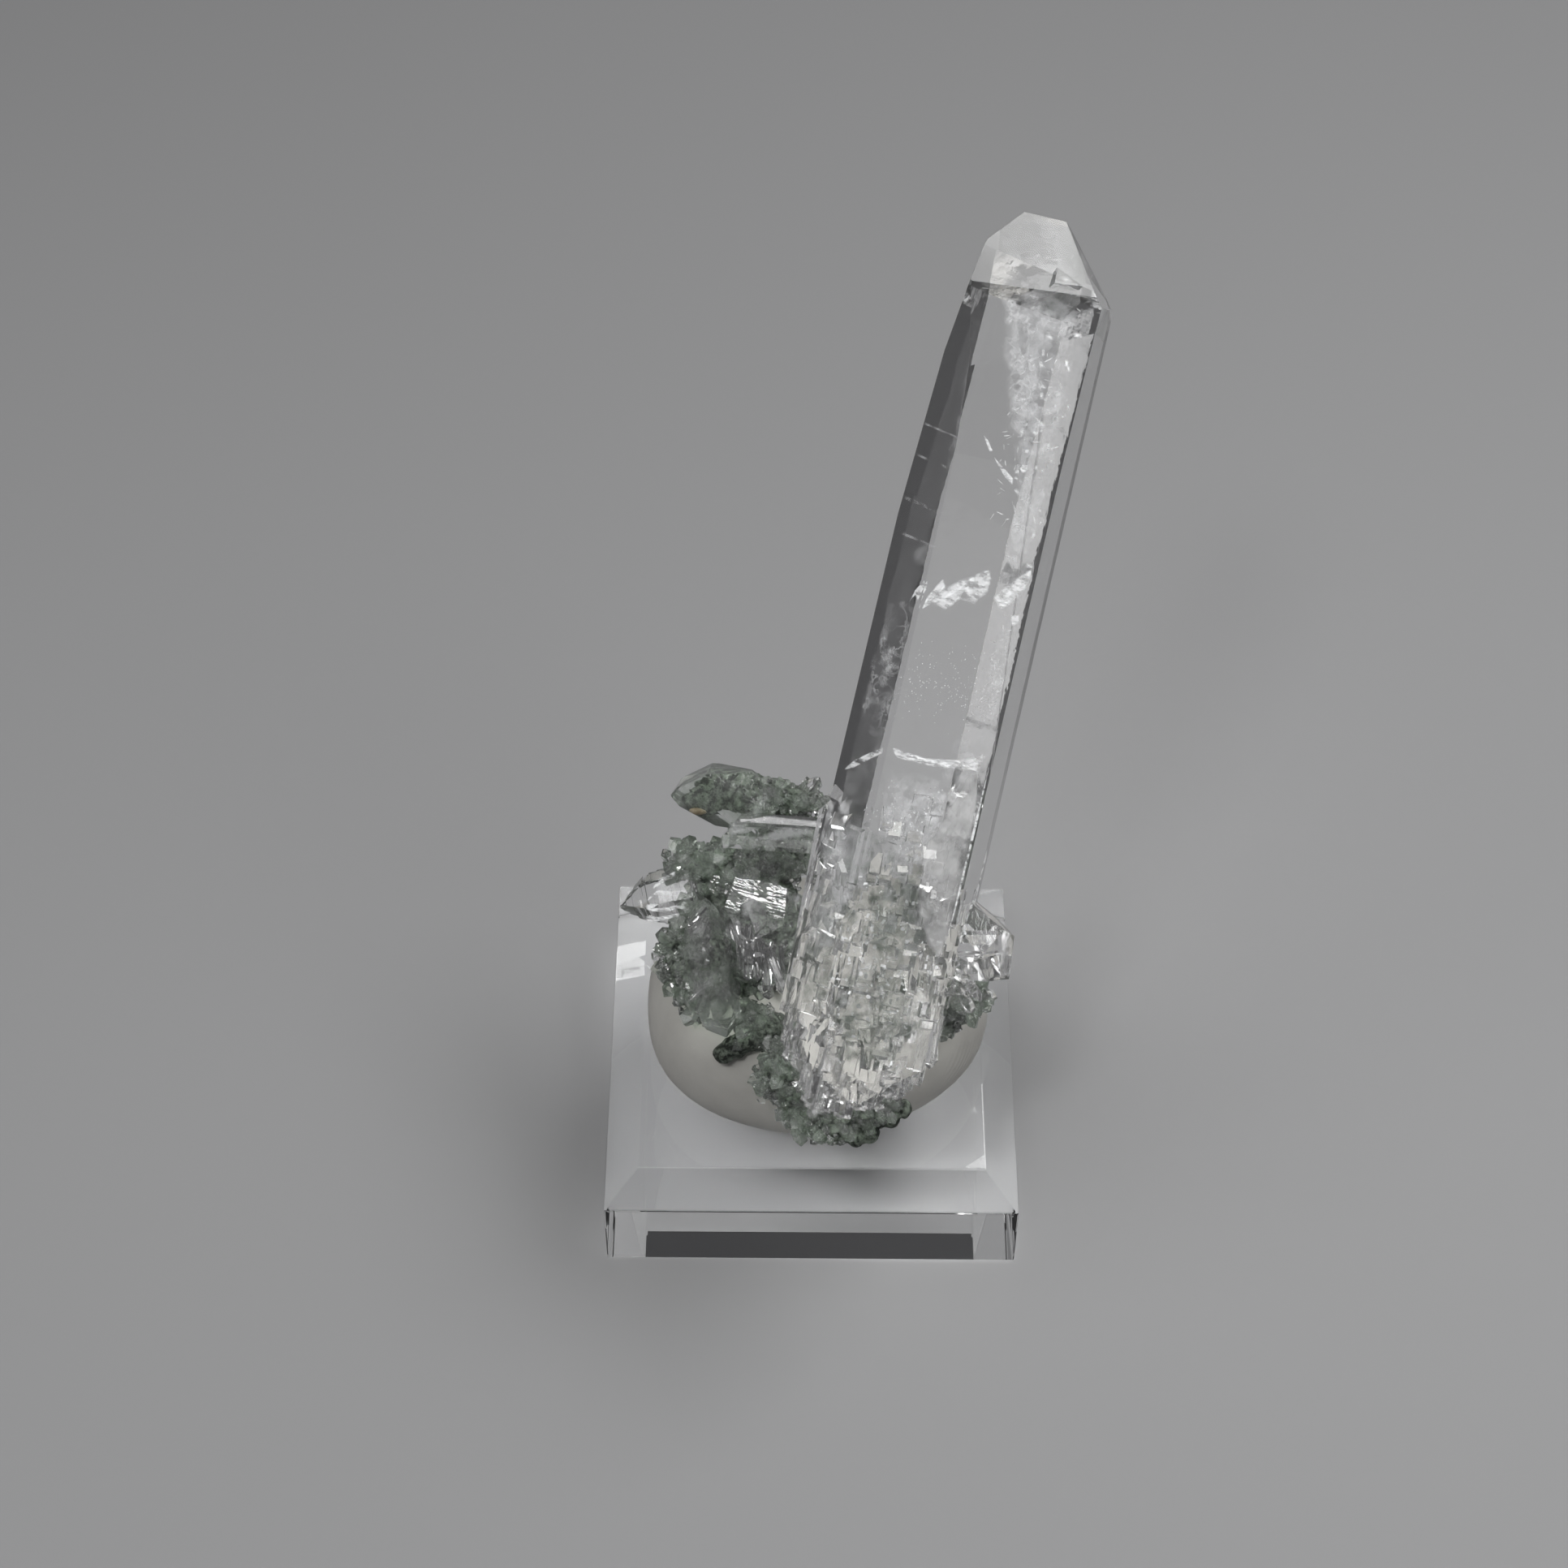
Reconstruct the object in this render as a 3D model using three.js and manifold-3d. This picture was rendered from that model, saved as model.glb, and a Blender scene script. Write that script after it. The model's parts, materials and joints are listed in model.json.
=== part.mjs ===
// Quartz specimen: a long clear point with its etched root, small side crystals and chlorite-green
// druse, held by mineral putty on a clear display block. Millimetres, +Z up.
// The origin is the centre of the block's underside, +X is to the right, +Y is away from the viewer.

import * as THREE from 'three';
import { ConvexGeometry } from 'three/addons/geometries/ConvexGeometry.js';
import { mergeVertices } from 'three/addons/utils/BufferGeometryUtils.js';
import Module from 'manifold-3d';

const wasm = await Module();
wasm.setup();

// Display block
const BLOCK_WIDTH = 35;
const BLOCK_SIDE_HEIGHT = 7.35;
const BLOCK_BEVEL_RISE = 2.5;
const BLOCK_BEVEL_RUN = 2.8;
const BLOCK_HEIGHT = BLOCK_SIDE_HEIGHT + BLOCK_BEVEL_RISE;

// Specimen: where the root end of the long axis is, and how the axis leans
const ROOT_END = new THREE.Vector3(1.75, -15.75, 17.5);
const LEAN_BACK = 39.8;
const LEAN_RIGHT = 12.2;
const TURN_LEFT = 4.5;
const LENGTH = 75.5;

// Quartz habit: six prism faces, and rhombohedral faces at this slope from the long axis
const RHOMB_SLOPE = 38.2;
const FRONT_FACE = 20;
const SIDES = [0, 60, 120, 180, 240, 300];

// Clearance between two pieces that touch
const GAP = 0.3;

// The largest step that still counts as one corner, and the smallest that three crossing faces span
const SAME_CORNER = 0.002;
const CROSSING = 1e-6;

// The turn between neighbours that spreads crystals evenly over a lump, in radians, and how deep
// they sit in it, as a share of its radius
const GOLDEN_TURN = 2.39996;
const SEATED = 0.72;

// Directions in the specimen's frame: X right, Y back, Z up the long axis
const UP = new THREE.Vector3(0, 0, 1);

const radians = THREE.MathUtils.degToRad;
const place = (x, y, z) => new THREE.Vector3(x, y, z);

// Seeded numbers from 0 to 1, so that every run grows the same crystals
function seeded(seed) {
  let state = seed;
  return () => {
    state = (state * 16807) % 2147483647;
    return state / 2147483647;
  };
}

// A flat face: its normal's azimuth from the viewer's side towards +X, its slope from the long
// axis (0 is a prism face, 90 lies straight across), and how far out it is at a given height
function facet(azimuth, slope, reach, height = 0) {
  const a = radians(azimuth);
  const s = radians(slope);
  const normal = new THREE.Vector3(Math.sin(a) * Math.cos(s), -Math.cos(a) * Math.cos(s), Math.sin(s));
  return { normal, offset: Math.cos(s) * reach + Math.sin(s) * height };
}

// The corners where three faces meet and no other face cuts them off
function corners(facets, grow) {
  const planes = facets.map(({ normal, offset }) => ({ normal, offset: offset + grow }));
  const found = [];
  for (let i = 0; i < planes.length; i += 1) {
    for (let j = i + 1; j < planes.length; j += 1) {
      for (let k = j + 1; k < planes.length; k += 1) {
        const point = meeting(planes[i], planes[j], planes[k]);
        const inside = point && planes.every((p) => p.normal.dot(point) <= p.offset + SAME_CORNER);
        if (inside && found.every((other) => other.distanceTo(point) > SAME_CORNER)) found.push(point);
      }
    }
  }
  return found;
}

function meeting(a, b, c) {
  const bc = new THREE.Vector3().crossVectors(b.normal, c.normal);
  const volume = a.normal.dot(bc);
  if (Math.abs(volume) < CROSSING) return null;
  const ca = new THREE.Vector3().crossVectors(c.normal, a.normal);
  const ab = new THREE.Vector3().crossVectors(a.normal, b.normal);
  return bc
    .multiplyScalar(a.offset)
    .addScaledVector(ca, b.offset)
    .addScaledVector(ab, c.offset)
    .divideScalar(volume);
}

function solid(geometry) {
  const bare = geometry.clone();
  bare.deleteAttribute('normal');
  bare.deleteAttribute('uv');
  const merged = mergeVertices(bare, SAME_CORNER);
  const vertProperties = new Float32Array(merged.getAttribute('position').array);
  const triVerts = new Uint32Array(merged.getIndex().array);
  return new wasm.Manifold(new wasm.Mesh({ numProp: 3, vertProperties, triVerts }));
}

function joined(solids) {
  return solids.reduce((all, next) => all.add(next));
}

// The main body of a cut piece, without the crumbs that the cut leaves
function mainBody(body) {
  return body.decompose().reduce((largest, next) => (next.volume() > largest.volume() ? next : largest));
}

function geometryOf(body) {
  const mesh = body.getMesh();
  const geometry = new THREE.BufferGeometry();
  geometry.setAttribute('position', new THREE.BufferAttribute(new Float32Array(mesh.vertProperties), 3));
  geometry.setIndex(new THREE.BufferAttribute(new Uint32Array(mesh.triVerts), 1));
  geometry.computeVertexNormals();
  return geometry;
}

// A crystal bounded by flat faces, each face moved out by grow
function faceted(facets, grow, pose = new THREE.Matrix4()) {
  return solid(new ConvexGeometry(corners(facets, grow)).applyMatrix4(pose));
}

// A pose at a point with Z along a direction, turned about it
function aimed(position, direction, turn = 0) {
  const swing = new THREE.Quaternion().setFromUnitVectors(UP, direction.clone().normalize());
  const spin = new THREE.Quaternion().setFromAxisAngle(UP, radians(turn));
  return new THREE.Matrix4().compose(position, swing.multiply(spin), new THREE.Vector3(1, 1, 1));
}

// Six prism faces at their own distances from the axis
function sixSides(reaches) {
  return SIDES.map((azimuth, i) => facet(azimuth, 0, reaches[i]));
}

// The six prism faces and three rhombohedral faces of a plain crystal, its foot cut straight across
function plainCrystal({ radius, length, flat = 0.12, foot = 0 }) {
  const prism = sixSides(SIDES.map((_, i) => radius * (1 + flat * Math.sin(i * GOLDEN_TURN))));
  const point = SIDES.filter((_, i) => i % 2 === 0).map((azimuth) => facet(azimuth, RHOMB_SLOPE, 0, length));
  return [...prism, ...point, facet(0, -90, 0, foot)];
}

// The big point's prism faces, which taper slightly
function prismFacets() {
  const middle = 40;
  return [
    facet(-40, 0.6, 7.74, middle),
    facet(FRONT_FACE, 1.0, 6.5, middle),
    facet(80, 0.4, 6.43, middle),
    facet(140, 0.5, 7.02, middle),
    facet(207, 0.6, 6.85, middle),
    facet(260, 0.4, 5.14, middle),
  ];
}

// The tip's front: a steep facet over a shoulder, and at the right a thin plate of later growth
// that carries the large facet lower, with a riser at its left and a rim along its foot
const STEEP_FRONT = [facet(15.5, 19, 2.42, LENGTH), facet(16, 13.5, 5.95, 63.2)];
const LOW_PLATE = [facet(18, 30, 3.98, 71.2), facet(-96.2, 36.5, -0.63, 71.2), facet(16, -48, 4.56, 70.3)];

// The big point: its prism, shoulders near the tip, the facets of the tip, and the cuts of the root
function pointFacets(front) {
  const shoulders = [
    facet(FRONT_FACE, 5.2, 6.39, 54.5),
    facet(260, 3.2, 5.11, 50),
    facet(260, 7.6, 4.45, 62.9),
    facet(206, 4, 6.73, 52),
  ];
  const tip = [
    facet(FRONT_FACE, RHOMB_SLOPE, 0.6, LENGTH),
    facet(80, RHOMB_SLOPE, 1.58, LENGTH),
    facet(140, RHOMB_SLOPE, 1.5, LENGTH),
    facet(200, RHOMB_SLOPE, -0.6, LENGTH),
    facet(266, 37.5, 1.66, LENGTH),
  ];
  const root = [
    facet(264, -10, 6.3, 21),
    facet(272, -36, 4.5, 9),
    facet(292, -60, 2.6, 4.6),
    facet(88, -22, 7.4, 11),
    facet(78, -50, 5.3, 6.4),
    facet(10, -28, 7.3, 6),
    facet(205, -20, 7.2, 11),
    facet(150, -22, 7.0, 11),
    facet(0, -90, 0, 1.9),
  ];
  return [...prismFacets(), ...front, ...shoulders, ...tip, ...root];
}

// Columns of parallel growth that step the sides of the root: place, size, foot and top heights
const ROOT_COLUMNS = [
  { x: -4.4, y: -5.3, radius: 1.9, foot: 10.5, top: 26.5 },
  { x: -3.1, y: -6.6, radius: 1.5, foot: 7.2, top: 23.0 },
  { x: -4.4, y: -2.4, radius: 1.6, foot: 11.5, top: 21.5 },
  { x: -4.0, y: 1.2, radius: 1.7, foot: 11, top: 19.0 },
  { x: -3.3, y: -4.6, radius: 1.3, foot: 5.6, top: 14.0 },
  { x: -1.9, y: -6.9, radius: 1.3, foot: 3.6, top: 17.0 },
  { x: -0.4, y: -6.5, radius: 1.2, foot: 2.6, top: 11.6 },
  { x: 1.0, y: -6.2, radius: 1.3, foot: 3.0, top: 19.6 },
  { x: 2.4, y: -5.5, radius: 1.2, foot: 3.4, top: 13.2 },
  { x: 3.9, y: -5.0, radius: 1.4, foot: 4.6, top: 17.4 },
  { x: 5.2, y: -4.3, radius: 1.3, foot: 7.2, top: 14.6 },
  { x: 6.0, y: -2.6, radius: 1.3, foot: 8.4, top: 20.2 },
  { x: 5.7, y: 0.6, radius: 1.5, foot: 9.5, top: 16.5 },
  { x: 5.2, y: 2.8, radius: 1.7, foot: 11, top: 21 },
  { x: 1.6, y: 6.2, radius: 1.9, foot: 12, top: 24 },
  { x: -2.6, y: 5.2, radius: 1.8, foot: 12, top: 20 },
  { x: 0.6, y: -3.6, radius: 1.9, foot: 0.9, top: 9 },
  { x: -1.6, y: -3.0, radius: 1.5, foot: 1.4, top: 9 },
  { x: 2.9, y: -2.8, radius: 1.6, foot: 2.2, top: 9 },
];

function rootColumns(grow) {
  return ROOT_COLUMNS.map(({ x, y, radius, foot, top }) => {
    const facets = plainCrystal({ radius, length: top - foot });
    return faceted(facets, grow, aimed(place(x, y, foot), UP, FRONT_FACE));
  });
}

// Low ledges of later growth that ring the long prism
function ledges(grow) {
  const rings = [
    { foot: 14, top: 28, out: 0.28 },
    { foot: 24, top: 45.5, out: 0.14 },
  ];
  return rings.map(({ foot, top, out }) => {
    const sides = prismFacets().map(({ normal, offset }) => ({ normal, offset: offset + out }));
    const shoulder = [-40, 20, 80, 140, 200, 260].map((azimuth) => facet(azimuth, RHOMB_SLOPE, 6.9, top));
    return faceted([...sides, ...shoulder, facet(0, -90, 0, foot)], grow);
  });
}

// The thin clear blade that runs left from the root
function blade(grow) {
  const facets = [
    facet(0, 84, 0, 1.05),
    facet(0, -86, 0, -1.1),
    facet(0, 0, 1.5),
    facet(180, 0, 1.6),
    facet(4, 35, 1.3, 0.6),
    facet(90, 0, 3),
    facet(270, 0, 8.0),
    facet(266, 40, 7.4, 0.4),
    facet(310, 0, 7.0),
  ];
  return faceted(facets, grow, aimed(place(-6.4, 0.6, 23.2), place(-0.17, -0.1, 1)));
}

// The short six-sided crystal left of the root, its flat etched end towards the viewer
function stubCrystal(grow) {
  const facets = [...plainCrystal({ radius: 3.05, length: 8.2, flat: 0.06, foot: -1 }), facet(0, 90, 0, 6.6)];
  return faceted(facets, grow, aimed(place(-8.2, 4.9, 14.6), place(-0.13, -0.92, 0.3), 12));
}

// The small clear crystal at the right, its long edge falling to the right
function rightCrystal(grow) {
  const facets = [
    ...sixSides([2.6, 2.5, 2.6, 2.4, 2.7, 2.5]),
    facet(60, RHOMB_SLOPE, 1.4, 6.0),
    facet(180, RHOMB_SLOPE, 0.6, 6.0),
    facet(300, RHOMB_SLOPE, 1.3, 6.0),
    facet(0, -90, 0, -0.5),
  ];
  return faceted(facets, grow, aimed(place(4.7, 1.8, 18.8), place(0.86, -0.1, -0.42), 20));
}

function clearSolids(grow) {
  return joined([
    faceted(pointFacets(STEEP_FRONT), grow),
    faceted(pointFacets(LOW_PLATE), grow),
    ...ledges(grow),
    ...rootColumns(grow),
    blade(grow),
    stubCrystal(grow),
    rightCrystal(grow),
  ]);
}

// The clear striated point that juts out at the far left
function leftPointSolid(grow) {
  const facets = [
    ...sixSides([2.2, 2.0, 2.3, 2.0, 2.1, 2.0]),
    facet(0, 24, 0.6, 6.3),
    facet(60, 33, 0.4, 6.3),
    facet(120, RHOMB_SLOPE, 0.3, 6.3),
    facet(180, 28, 0.5, 6.3),
    facet(240, 22, 0.7, 6.3),
    facet(300, 30, 0.4, 6.3),
    facet(0, -90, 0, 0),
  ];
  return faceted(facets, grow, aimed(place(-15.6, 3.4, 16.0), place(-0.9, 0.02, -0.44), 20));
}

// A lump of flat faces, stretched along its own three radii
function lump(centre, radii, grow, tilt = 0, detail = 0) {
  const ball = new THREE.IcosahedronGeometry(1, detail);
  ball.scale(radii.x + grow, radii.y + grow, radii.z + grow);
  ball.rotateY(radians(tilt));
  ball.translate(centre.x, centre.y, centre.z);
  return solid(ball);
}

// Small crystals that stand out of a lump, more of them towards the sides that show
function druse({ centre, radii, tilt = 0, count, size, seed, lean }, grow) {
  const random = seeded(seed);
  const solids = [lump(centre, radii, grow, tilt)];
  for (let i = 0; i < count; i += 1) {
    const height = 1 - (2 * (i + 0.5)) / count;
    const around = i * GOLDEN_TURN + random() * 0.5;
    const flatRadius = Math.sqrt(1 - height * height);
    const outward = new THREE.Vector3(flatRadius * Math.cos(around), flatRadius * Math.sin(around), height);
    const seat = outward.clone().multiply(radii).multiplyScalar(SEATED);
    seat.applyAxisAngle(new THREE.Vector3(0, 1, 0), radians(tilt)).add(centre);
    const wander = new THREE.Vector3(random() - 0.5, random() - 0.5, random() - 0.5).multiplyScalar(0.7);
    const direction = outward.clone().add(lean).add(wander);
    const radius = size * (0.62 + 0.5 * random());
    const length = radius * (2.4 + 1.2 * random());
    const facets = plainCrystal({ radius, length });
    solids.push(faceted(facets, grow, aimed(seat, direction, random() * 60)));
  }
  return solids;
}

// The lens-shaped crystal at the upper left, full of dark green inclusions
function gardenCrystal(grow) {
  const facets = [
    facet(0, 0, 1.9),
    facet(180, 0, 2.0),
    facet(20, 32, 2.0, 0.8),
    facet(-25, -28, 2.1, -0.8),
    facet(150, 35, 2.2, 0.8),
    facet(200, -30, 2.2, -0.8),
    facet(0, 90, 0, 2.2),
    facet(0, -90, 0, -2.35),
    facet(270, 62, 2.4, 1.8),
    facet(270, 35, 4.2, 0.8),
    facet(270, -38, 4.3, -0.7),
    facet(270, -66, 1.8, -2.0),
    facet(90, 55, 2.4, 1.8),
    facet(90, -55, 2.6, -1.8),
    facet(90, 0, 4.3),
    facet(300, 10, 4.3),
    facet(235, -5, 4.3),
  ];
  return faceted(facets, grow, aimed(place(-14.6, 3.6, 24.3), place(-0.2, -0.1, 1)));
}

// The green druse on the left, from the garden crystal down to the drips under the root
const LEFT_DRUSE = [
  { centre: place(-9.0, 3.2, 25.4), radii: place(2.8, 1.3, 1.1), tilt: 4, count: 6, size: 0.8, seed: 11,
    lean: place(0, -0.5, 0.4) },
  { centre: place(-9.6, 5.4, 22.6), radii: place(2.2, 1.6, 2.8), tilt: 0, count: 4, size: 0.8, seed: 17,
    lean: place(-0.3, 0.5, 0.4) },
  { centre: place(-16.2, 4.6, 17.8), radii: place(2.2, 1.8, 1.4), tilt: -14, count: 6, size: 1.0, seed: 23,
    lean: place(-0.2, -0.4, 0.8) },
  { centre: place(-12.4, 4.2, 18.8), radii: place(3.2, 2.2, 1.7), tilt: -10, count: 8, size: 1.05, seed: 31,
    lean: place(0, -0.5, 0.8) },
  { centre: place(-8.6, 4.2, 20.4), radii: place(2.4, 1.9, 1.5), tilt: -6, count: 5, size: 0.9, seed: 47,
    lean: place(0, -0.5, 0.5) },
  { centre: place(-13.6, 4.9, 15.2), radii: place(2.2, 2.2, 2.8), tilt: 0, count: 5, size: 0.9, seed: 59,
    lean: place(0, -1, 0) },
  { centre: place(-9.6, 6.2, 14.6), radii: place(3.4, 1.5, 4.4), tilt: 0, count: 4, size: 0.9, seed: 61,
    lean: place(0, -0.6, 0) },
  { centre: place(-14.0, 3.6, 10.6), radii: place(3.5, 3.2, 4.0), tilt: 8, count: 11, size: 1.25, seed: 53,
    lean: place(-0.1, -0.5, 0.2) },
  { centre: place(-12.8, 4.4, 7.2), radii: place(2.2, 2.0, 2.2), tilt: 0, count: 5, size: 1.05, seed: 67,
    lean: place(0, -0.4, -0.6) },
  { centre: place(-8.6, 3.9, 10.6), radii: place(2.6, 2.0, 1.4), tilt: 0, count: 5, size: 0.9, seed: 71,
    lean: place(-0.2, -0.6, 0.1) },
  { centre: place(-7.8, 2.6, 6.2), radii: place(2.3, 1.8, 1.9), tilt: 30, count: 6, size: 0.9, seed: 83,
    lean: place(-0.3, -0.7, 0) },
  { centre: place(-5.4, 0.2, 4.0), radii: place(1.5, 1.8, 3.0), tilt: 12, count: 6, size: 0.9, seed: 97,
    lean: place(-0.4, -0.7, -0.2) },
  { centre: place(-3.1, -0.6, 1.2), radii: place(2.2, 1.8, 1.7), tilt: 35, count: 6, size: 0.85, seed: 101,
    lean: place(-0.3, -0.4, -0.7) },
  { centre: place(0.1, -0.6, 0.2), radii: place(2.2, 1.8, 1.3), tilt: -20, count: 5, size: 0.75, seed: 113,
    lean: place(0, -0.3, -1) },
  { centre: place(2.9, -0.2, 2.2), radii: place(2.2, 1.6, 1.1), tilt: -34, count: 5, size: 0.75, seed: 127,
    lean: place(0.3, -0.3, -1) },
];

// The rounded green finger that lies on the putty
function finger(grow) {
  const knuckles = [
    { centre: place(-7.4, 1.9, 6.2), radii: place(1.6, 1.3, 1.3) },
    { centre: place(-8.9, 2.0, 4.7), radii: place(1.45, 1.25, 1.15) },
    { centre: place(-10.1, 2.2, 3.5), radii: place(1.25, 1.15, 1.0) },
  ];
  return knuckles.map(({ centre, radii }) => lump(centre, radii, grow, -30, 1));
}

function leftGreenSolids(grow) {
  return joined([gardenCrystal(grow), ...LEFT_DRUSE.flatMap((patch) => druse(patch, grow)), ...finger(grow)]);
}

// The green druse under the small crystal at the right
const RIGHT_DRUSE = [
  { centre: place(8.1, 3.0, 12.6), radii: place(1.8, 1.7, 1.7), tilt: -30, count: 6, size: 0.85, seed: 131,
    lean: place(0.4, -0.5, -0.3) },
  { centre: place(7.0, 3.4, 10.6), radii: place(1.3, 1.5, 1.5), tilt: -20, count: 5, size: 0.7, seed: 149,
    lean: place(0.4, -0.5, -0.5) },
];

function rightGreenSolids(grow) {
  return joined(RIGHT_DRUSE.flatMap((patch) => druse(patch, grow)));
}

// The putty: a squashed ball whose outline bulges over its foot, widest a little above the block
const PUTTY_FOOT = BLOCK_HEIGHT + GAP;
const PUTTY_TOP = 23.5;
const PUTTY_CENTRE = new THREE.Vector2(0.2, -0.6);
const PUTTY_AROUND = 48;
const PUTTY_RINGS = 10;

// How far the putty reaches at an angle from +X, at its widest ring
function puttyReach(angle) {
  const side = 14.5;
  const front = 12.2;
  const back = 11.4;
  const depth = Math.sin(angle) < 0 ? front : back;
  const squareness = 2.25;
  const across = Math.abs(Math.cos(angle) / side) ** squareness;
  const along = Math.abs(Math.sin(angle) / depth) ** squareness;
  const lobes = 0.22 * Math.sin(3 * angle + 0.7) + 0.16 * Math.sin(5 * angle + 2.1);
  return (across + along) ** (-1 / squareness) + lobes;
}

function puttyGeometry(grow) {
  const widest = 0.27;
  const footTuck = 0.14;
  const positions = [];
  for (let ring = 0; ring <= PUTTY_RINGS; ring += 1) {
    const rise = ring / PUTTY_RINGS;
    const swell = rise < widest
      ? 1 - footTuck * ((widest - rise) / widest) ** 2
      : Math.sqrt(Math.max(0, 1 - ((rise - widest) / (1 - widest)) ** 2.3));
    for (let step = 0; step < PUTTY_AROUND; step += 1) {
      const angle = (step / PUTTY_AROUND) * 2 * Math.PI;
      const reach = ring === PUTTY_RINGS ? 0 : puttyReach(angle) * swell + grow;
      positions.push(
        PUTTY_CENTRE.x + reach * Math.cos(angle),
        PUTTY_CENTRE.y + reach * Math.sin(angle),
        PUTTY_FOOT - grow + (PUTTY_TOP - PUTTY_FOOT + 2 * grow) * rise,
      );
    }
  }
  const foot = positions.length / 3;
  positions.push(PUTTY_CENTRE.x, PUTTY_CENTRE.y, PUTTY_FOOT - grow);
  const index = [];
  for (let ring = 0; ring < PUTTY_RINGS; ring += 1) {
    for (let step = 0; step < PUTTY_AROUND; step += 1) {
      const next = (step + 1) % PUTTY_AROUND;
      const a = ring * PUTTY_AROUND + step;
      const b = ring * PUTTY_AROUND + next;
      const c = a + PUTTY_AROUND;
      const d = b + PUTTY_AROUND;
      if (ring === 0) index.push(foot, b, a);
      index.push(a, b, c);
      if (ring < PUTTY_RINGS - 1) index.push(b, d, c);
    }
  }
  const geometry = new THREE.BufferGeometry();
  geometry.setAttribute('position', new THREE.Float32BufferAttribute(positions, 3));
  geometry.setIndex(index);
  return geometry;
}

function blockGeometry() {
  const half = BLOCK_WIDTH / 2;
  const bevelSlope = THREE.MathUtils.radToDeg(Math.atan2(BLOCK_BEVEL_RUN, BLOCK_BEVEL_RISE));
  const sides = [0, 90, 180, 270];
  const facets = [
    ...sides.map((azimuth) => facet(azimuth, 0, half)),
    ...sides.map((azimuth) => facet(azimuth, bevelSlope, half, BLOCK_SIDE_HEIGHT)),
    facet(0, 90, 0, BLOCK_HEIGHT),
    facet(0, -90, 0, 0),
  ];
  return new ConvexGeometry(corners(facets, 0));
}

function specimenPose() {
  const lean = new THREE.Matrix4().makeRotationX(radians(-LEAN_BACK));
  lean.multiply(new THREE.Matrix4().makeRotationY(radians(LEAN_RIGHT)));
  lean.multiply(new THREE.Matrix4().makeRotationZ(radians(-TURN_LEFT)));
  return lean.setPosition(ROOT_END);
}

function named(name, geometry, material) {
  const mesh = new THREE.Mesh(geometry, material);
  mesh.name = name;
  return mesh;
}

const clearQuartz = new THREE.MeshStandardMaterial({ color: 0xc9ccca, roughness: 0.08, metalness: 0 });
const chloriteQuartz = new THREE.MeshStandardMaterial({ color: 0x465a4b, roughness: 0.35, metalness: 0 });
const acrylic = new THREE.MeshStandardMaterial({ color: 0xdfe3e4, roughness: 0.05, metalness: 0 });
const putty = new THREE.MeshStandardMaterial({ color: 0xb4b0a4, roughness: 0.6, metalness: 0 });

const pose = specimenPose();
const clearKeepOut = clearSolids(GAP).add(leftPointSolid(GAP));
const puttyKeepOut = solid(puttyGeometry(GAP)).transform(pose.clone().invert().elements);
const greenKeepOut = clearKeepOut.add(puttyKeepOut);
const leftGreen = mainBody(leftGreenSolids(0).subtract(greenKeepOut));
const rightGreen = mainBody(rightGreenSolids(0).subtract(greenKeepOut));

const specimen = new THREE.Group();
specimen.applyMatrix4(pose);
specimen.add(
  named('quartz_crystals', geometryOf(clearSolids(0)), clearQuartz),
  named('left_point', geometryOf(leftPointSolid(0)), clearQuartz.clone()),
  named('chlorite_crystals_left', geometryOf(leftGreen), chloriteQuartz),
  named('chlorite_crystals_right', geometryOf(rightGreen), chloriteQuartz.clone()),
);

const moulded = solid(puttyGeometry(0)).subtract(clearKeepOut.transform(pose.elements));

const group = new THREE.Group();
group.add(
  named('display_base', blockGeometry(), acrylic),
  named('mounting_putty', geometryOf(moulded), putty),
  specimen,
);

export default group;
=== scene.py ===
import json
import logging
import math
import random
from dataclasses import dataclass, field
from enum import Enum
from typing import Iterable, Optional, Sequence

import bpy
from mathutils import Matrix, Vector

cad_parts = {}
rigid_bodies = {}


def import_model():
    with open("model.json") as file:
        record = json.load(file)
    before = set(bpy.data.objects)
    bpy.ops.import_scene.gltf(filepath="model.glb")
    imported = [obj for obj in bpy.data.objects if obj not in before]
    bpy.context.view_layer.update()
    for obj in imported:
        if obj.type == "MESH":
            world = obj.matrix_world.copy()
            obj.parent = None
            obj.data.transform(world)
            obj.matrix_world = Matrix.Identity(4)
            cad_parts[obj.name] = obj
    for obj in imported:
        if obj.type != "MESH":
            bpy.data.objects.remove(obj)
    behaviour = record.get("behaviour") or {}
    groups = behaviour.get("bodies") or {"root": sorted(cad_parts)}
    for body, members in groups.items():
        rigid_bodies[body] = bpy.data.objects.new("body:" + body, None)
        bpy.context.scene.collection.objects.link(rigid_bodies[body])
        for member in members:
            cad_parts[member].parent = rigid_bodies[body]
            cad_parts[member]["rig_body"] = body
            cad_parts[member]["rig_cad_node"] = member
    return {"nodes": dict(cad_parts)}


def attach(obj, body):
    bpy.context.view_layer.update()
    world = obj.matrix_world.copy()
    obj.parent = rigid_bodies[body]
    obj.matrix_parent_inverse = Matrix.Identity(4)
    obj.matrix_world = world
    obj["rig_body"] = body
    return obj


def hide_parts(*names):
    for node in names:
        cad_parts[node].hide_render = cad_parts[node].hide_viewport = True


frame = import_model()

log = logging.getLogger("specimen")

# Pieces are modelled in millimetres and settled in metres
MM = 0.001
BODY = "root"

# The specimen's own frame: X right, Y back, Z up the long axis, its origin at the root end
ROOT_END = Vector((1.75, -15.75, 17.5))
LEAN_BACK, LEAN_RIGHT, TURN_LEFT = 39.8, 12.2, 4.5
LENGTH = 75.5
RHOMB_SLOPE = 38.2
FRONT_FACE = 20.0
SIDES = (0, 60, 120, 180, 240, 300)
GOLDEN_TURN = 2.39996
QUARTZ_IOR = 1.544
# A face turned this way, in the specimen's frame, mirrors the key lamp to the viewer
GLINT = (0.227, -0.785, 0.577)
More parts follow.
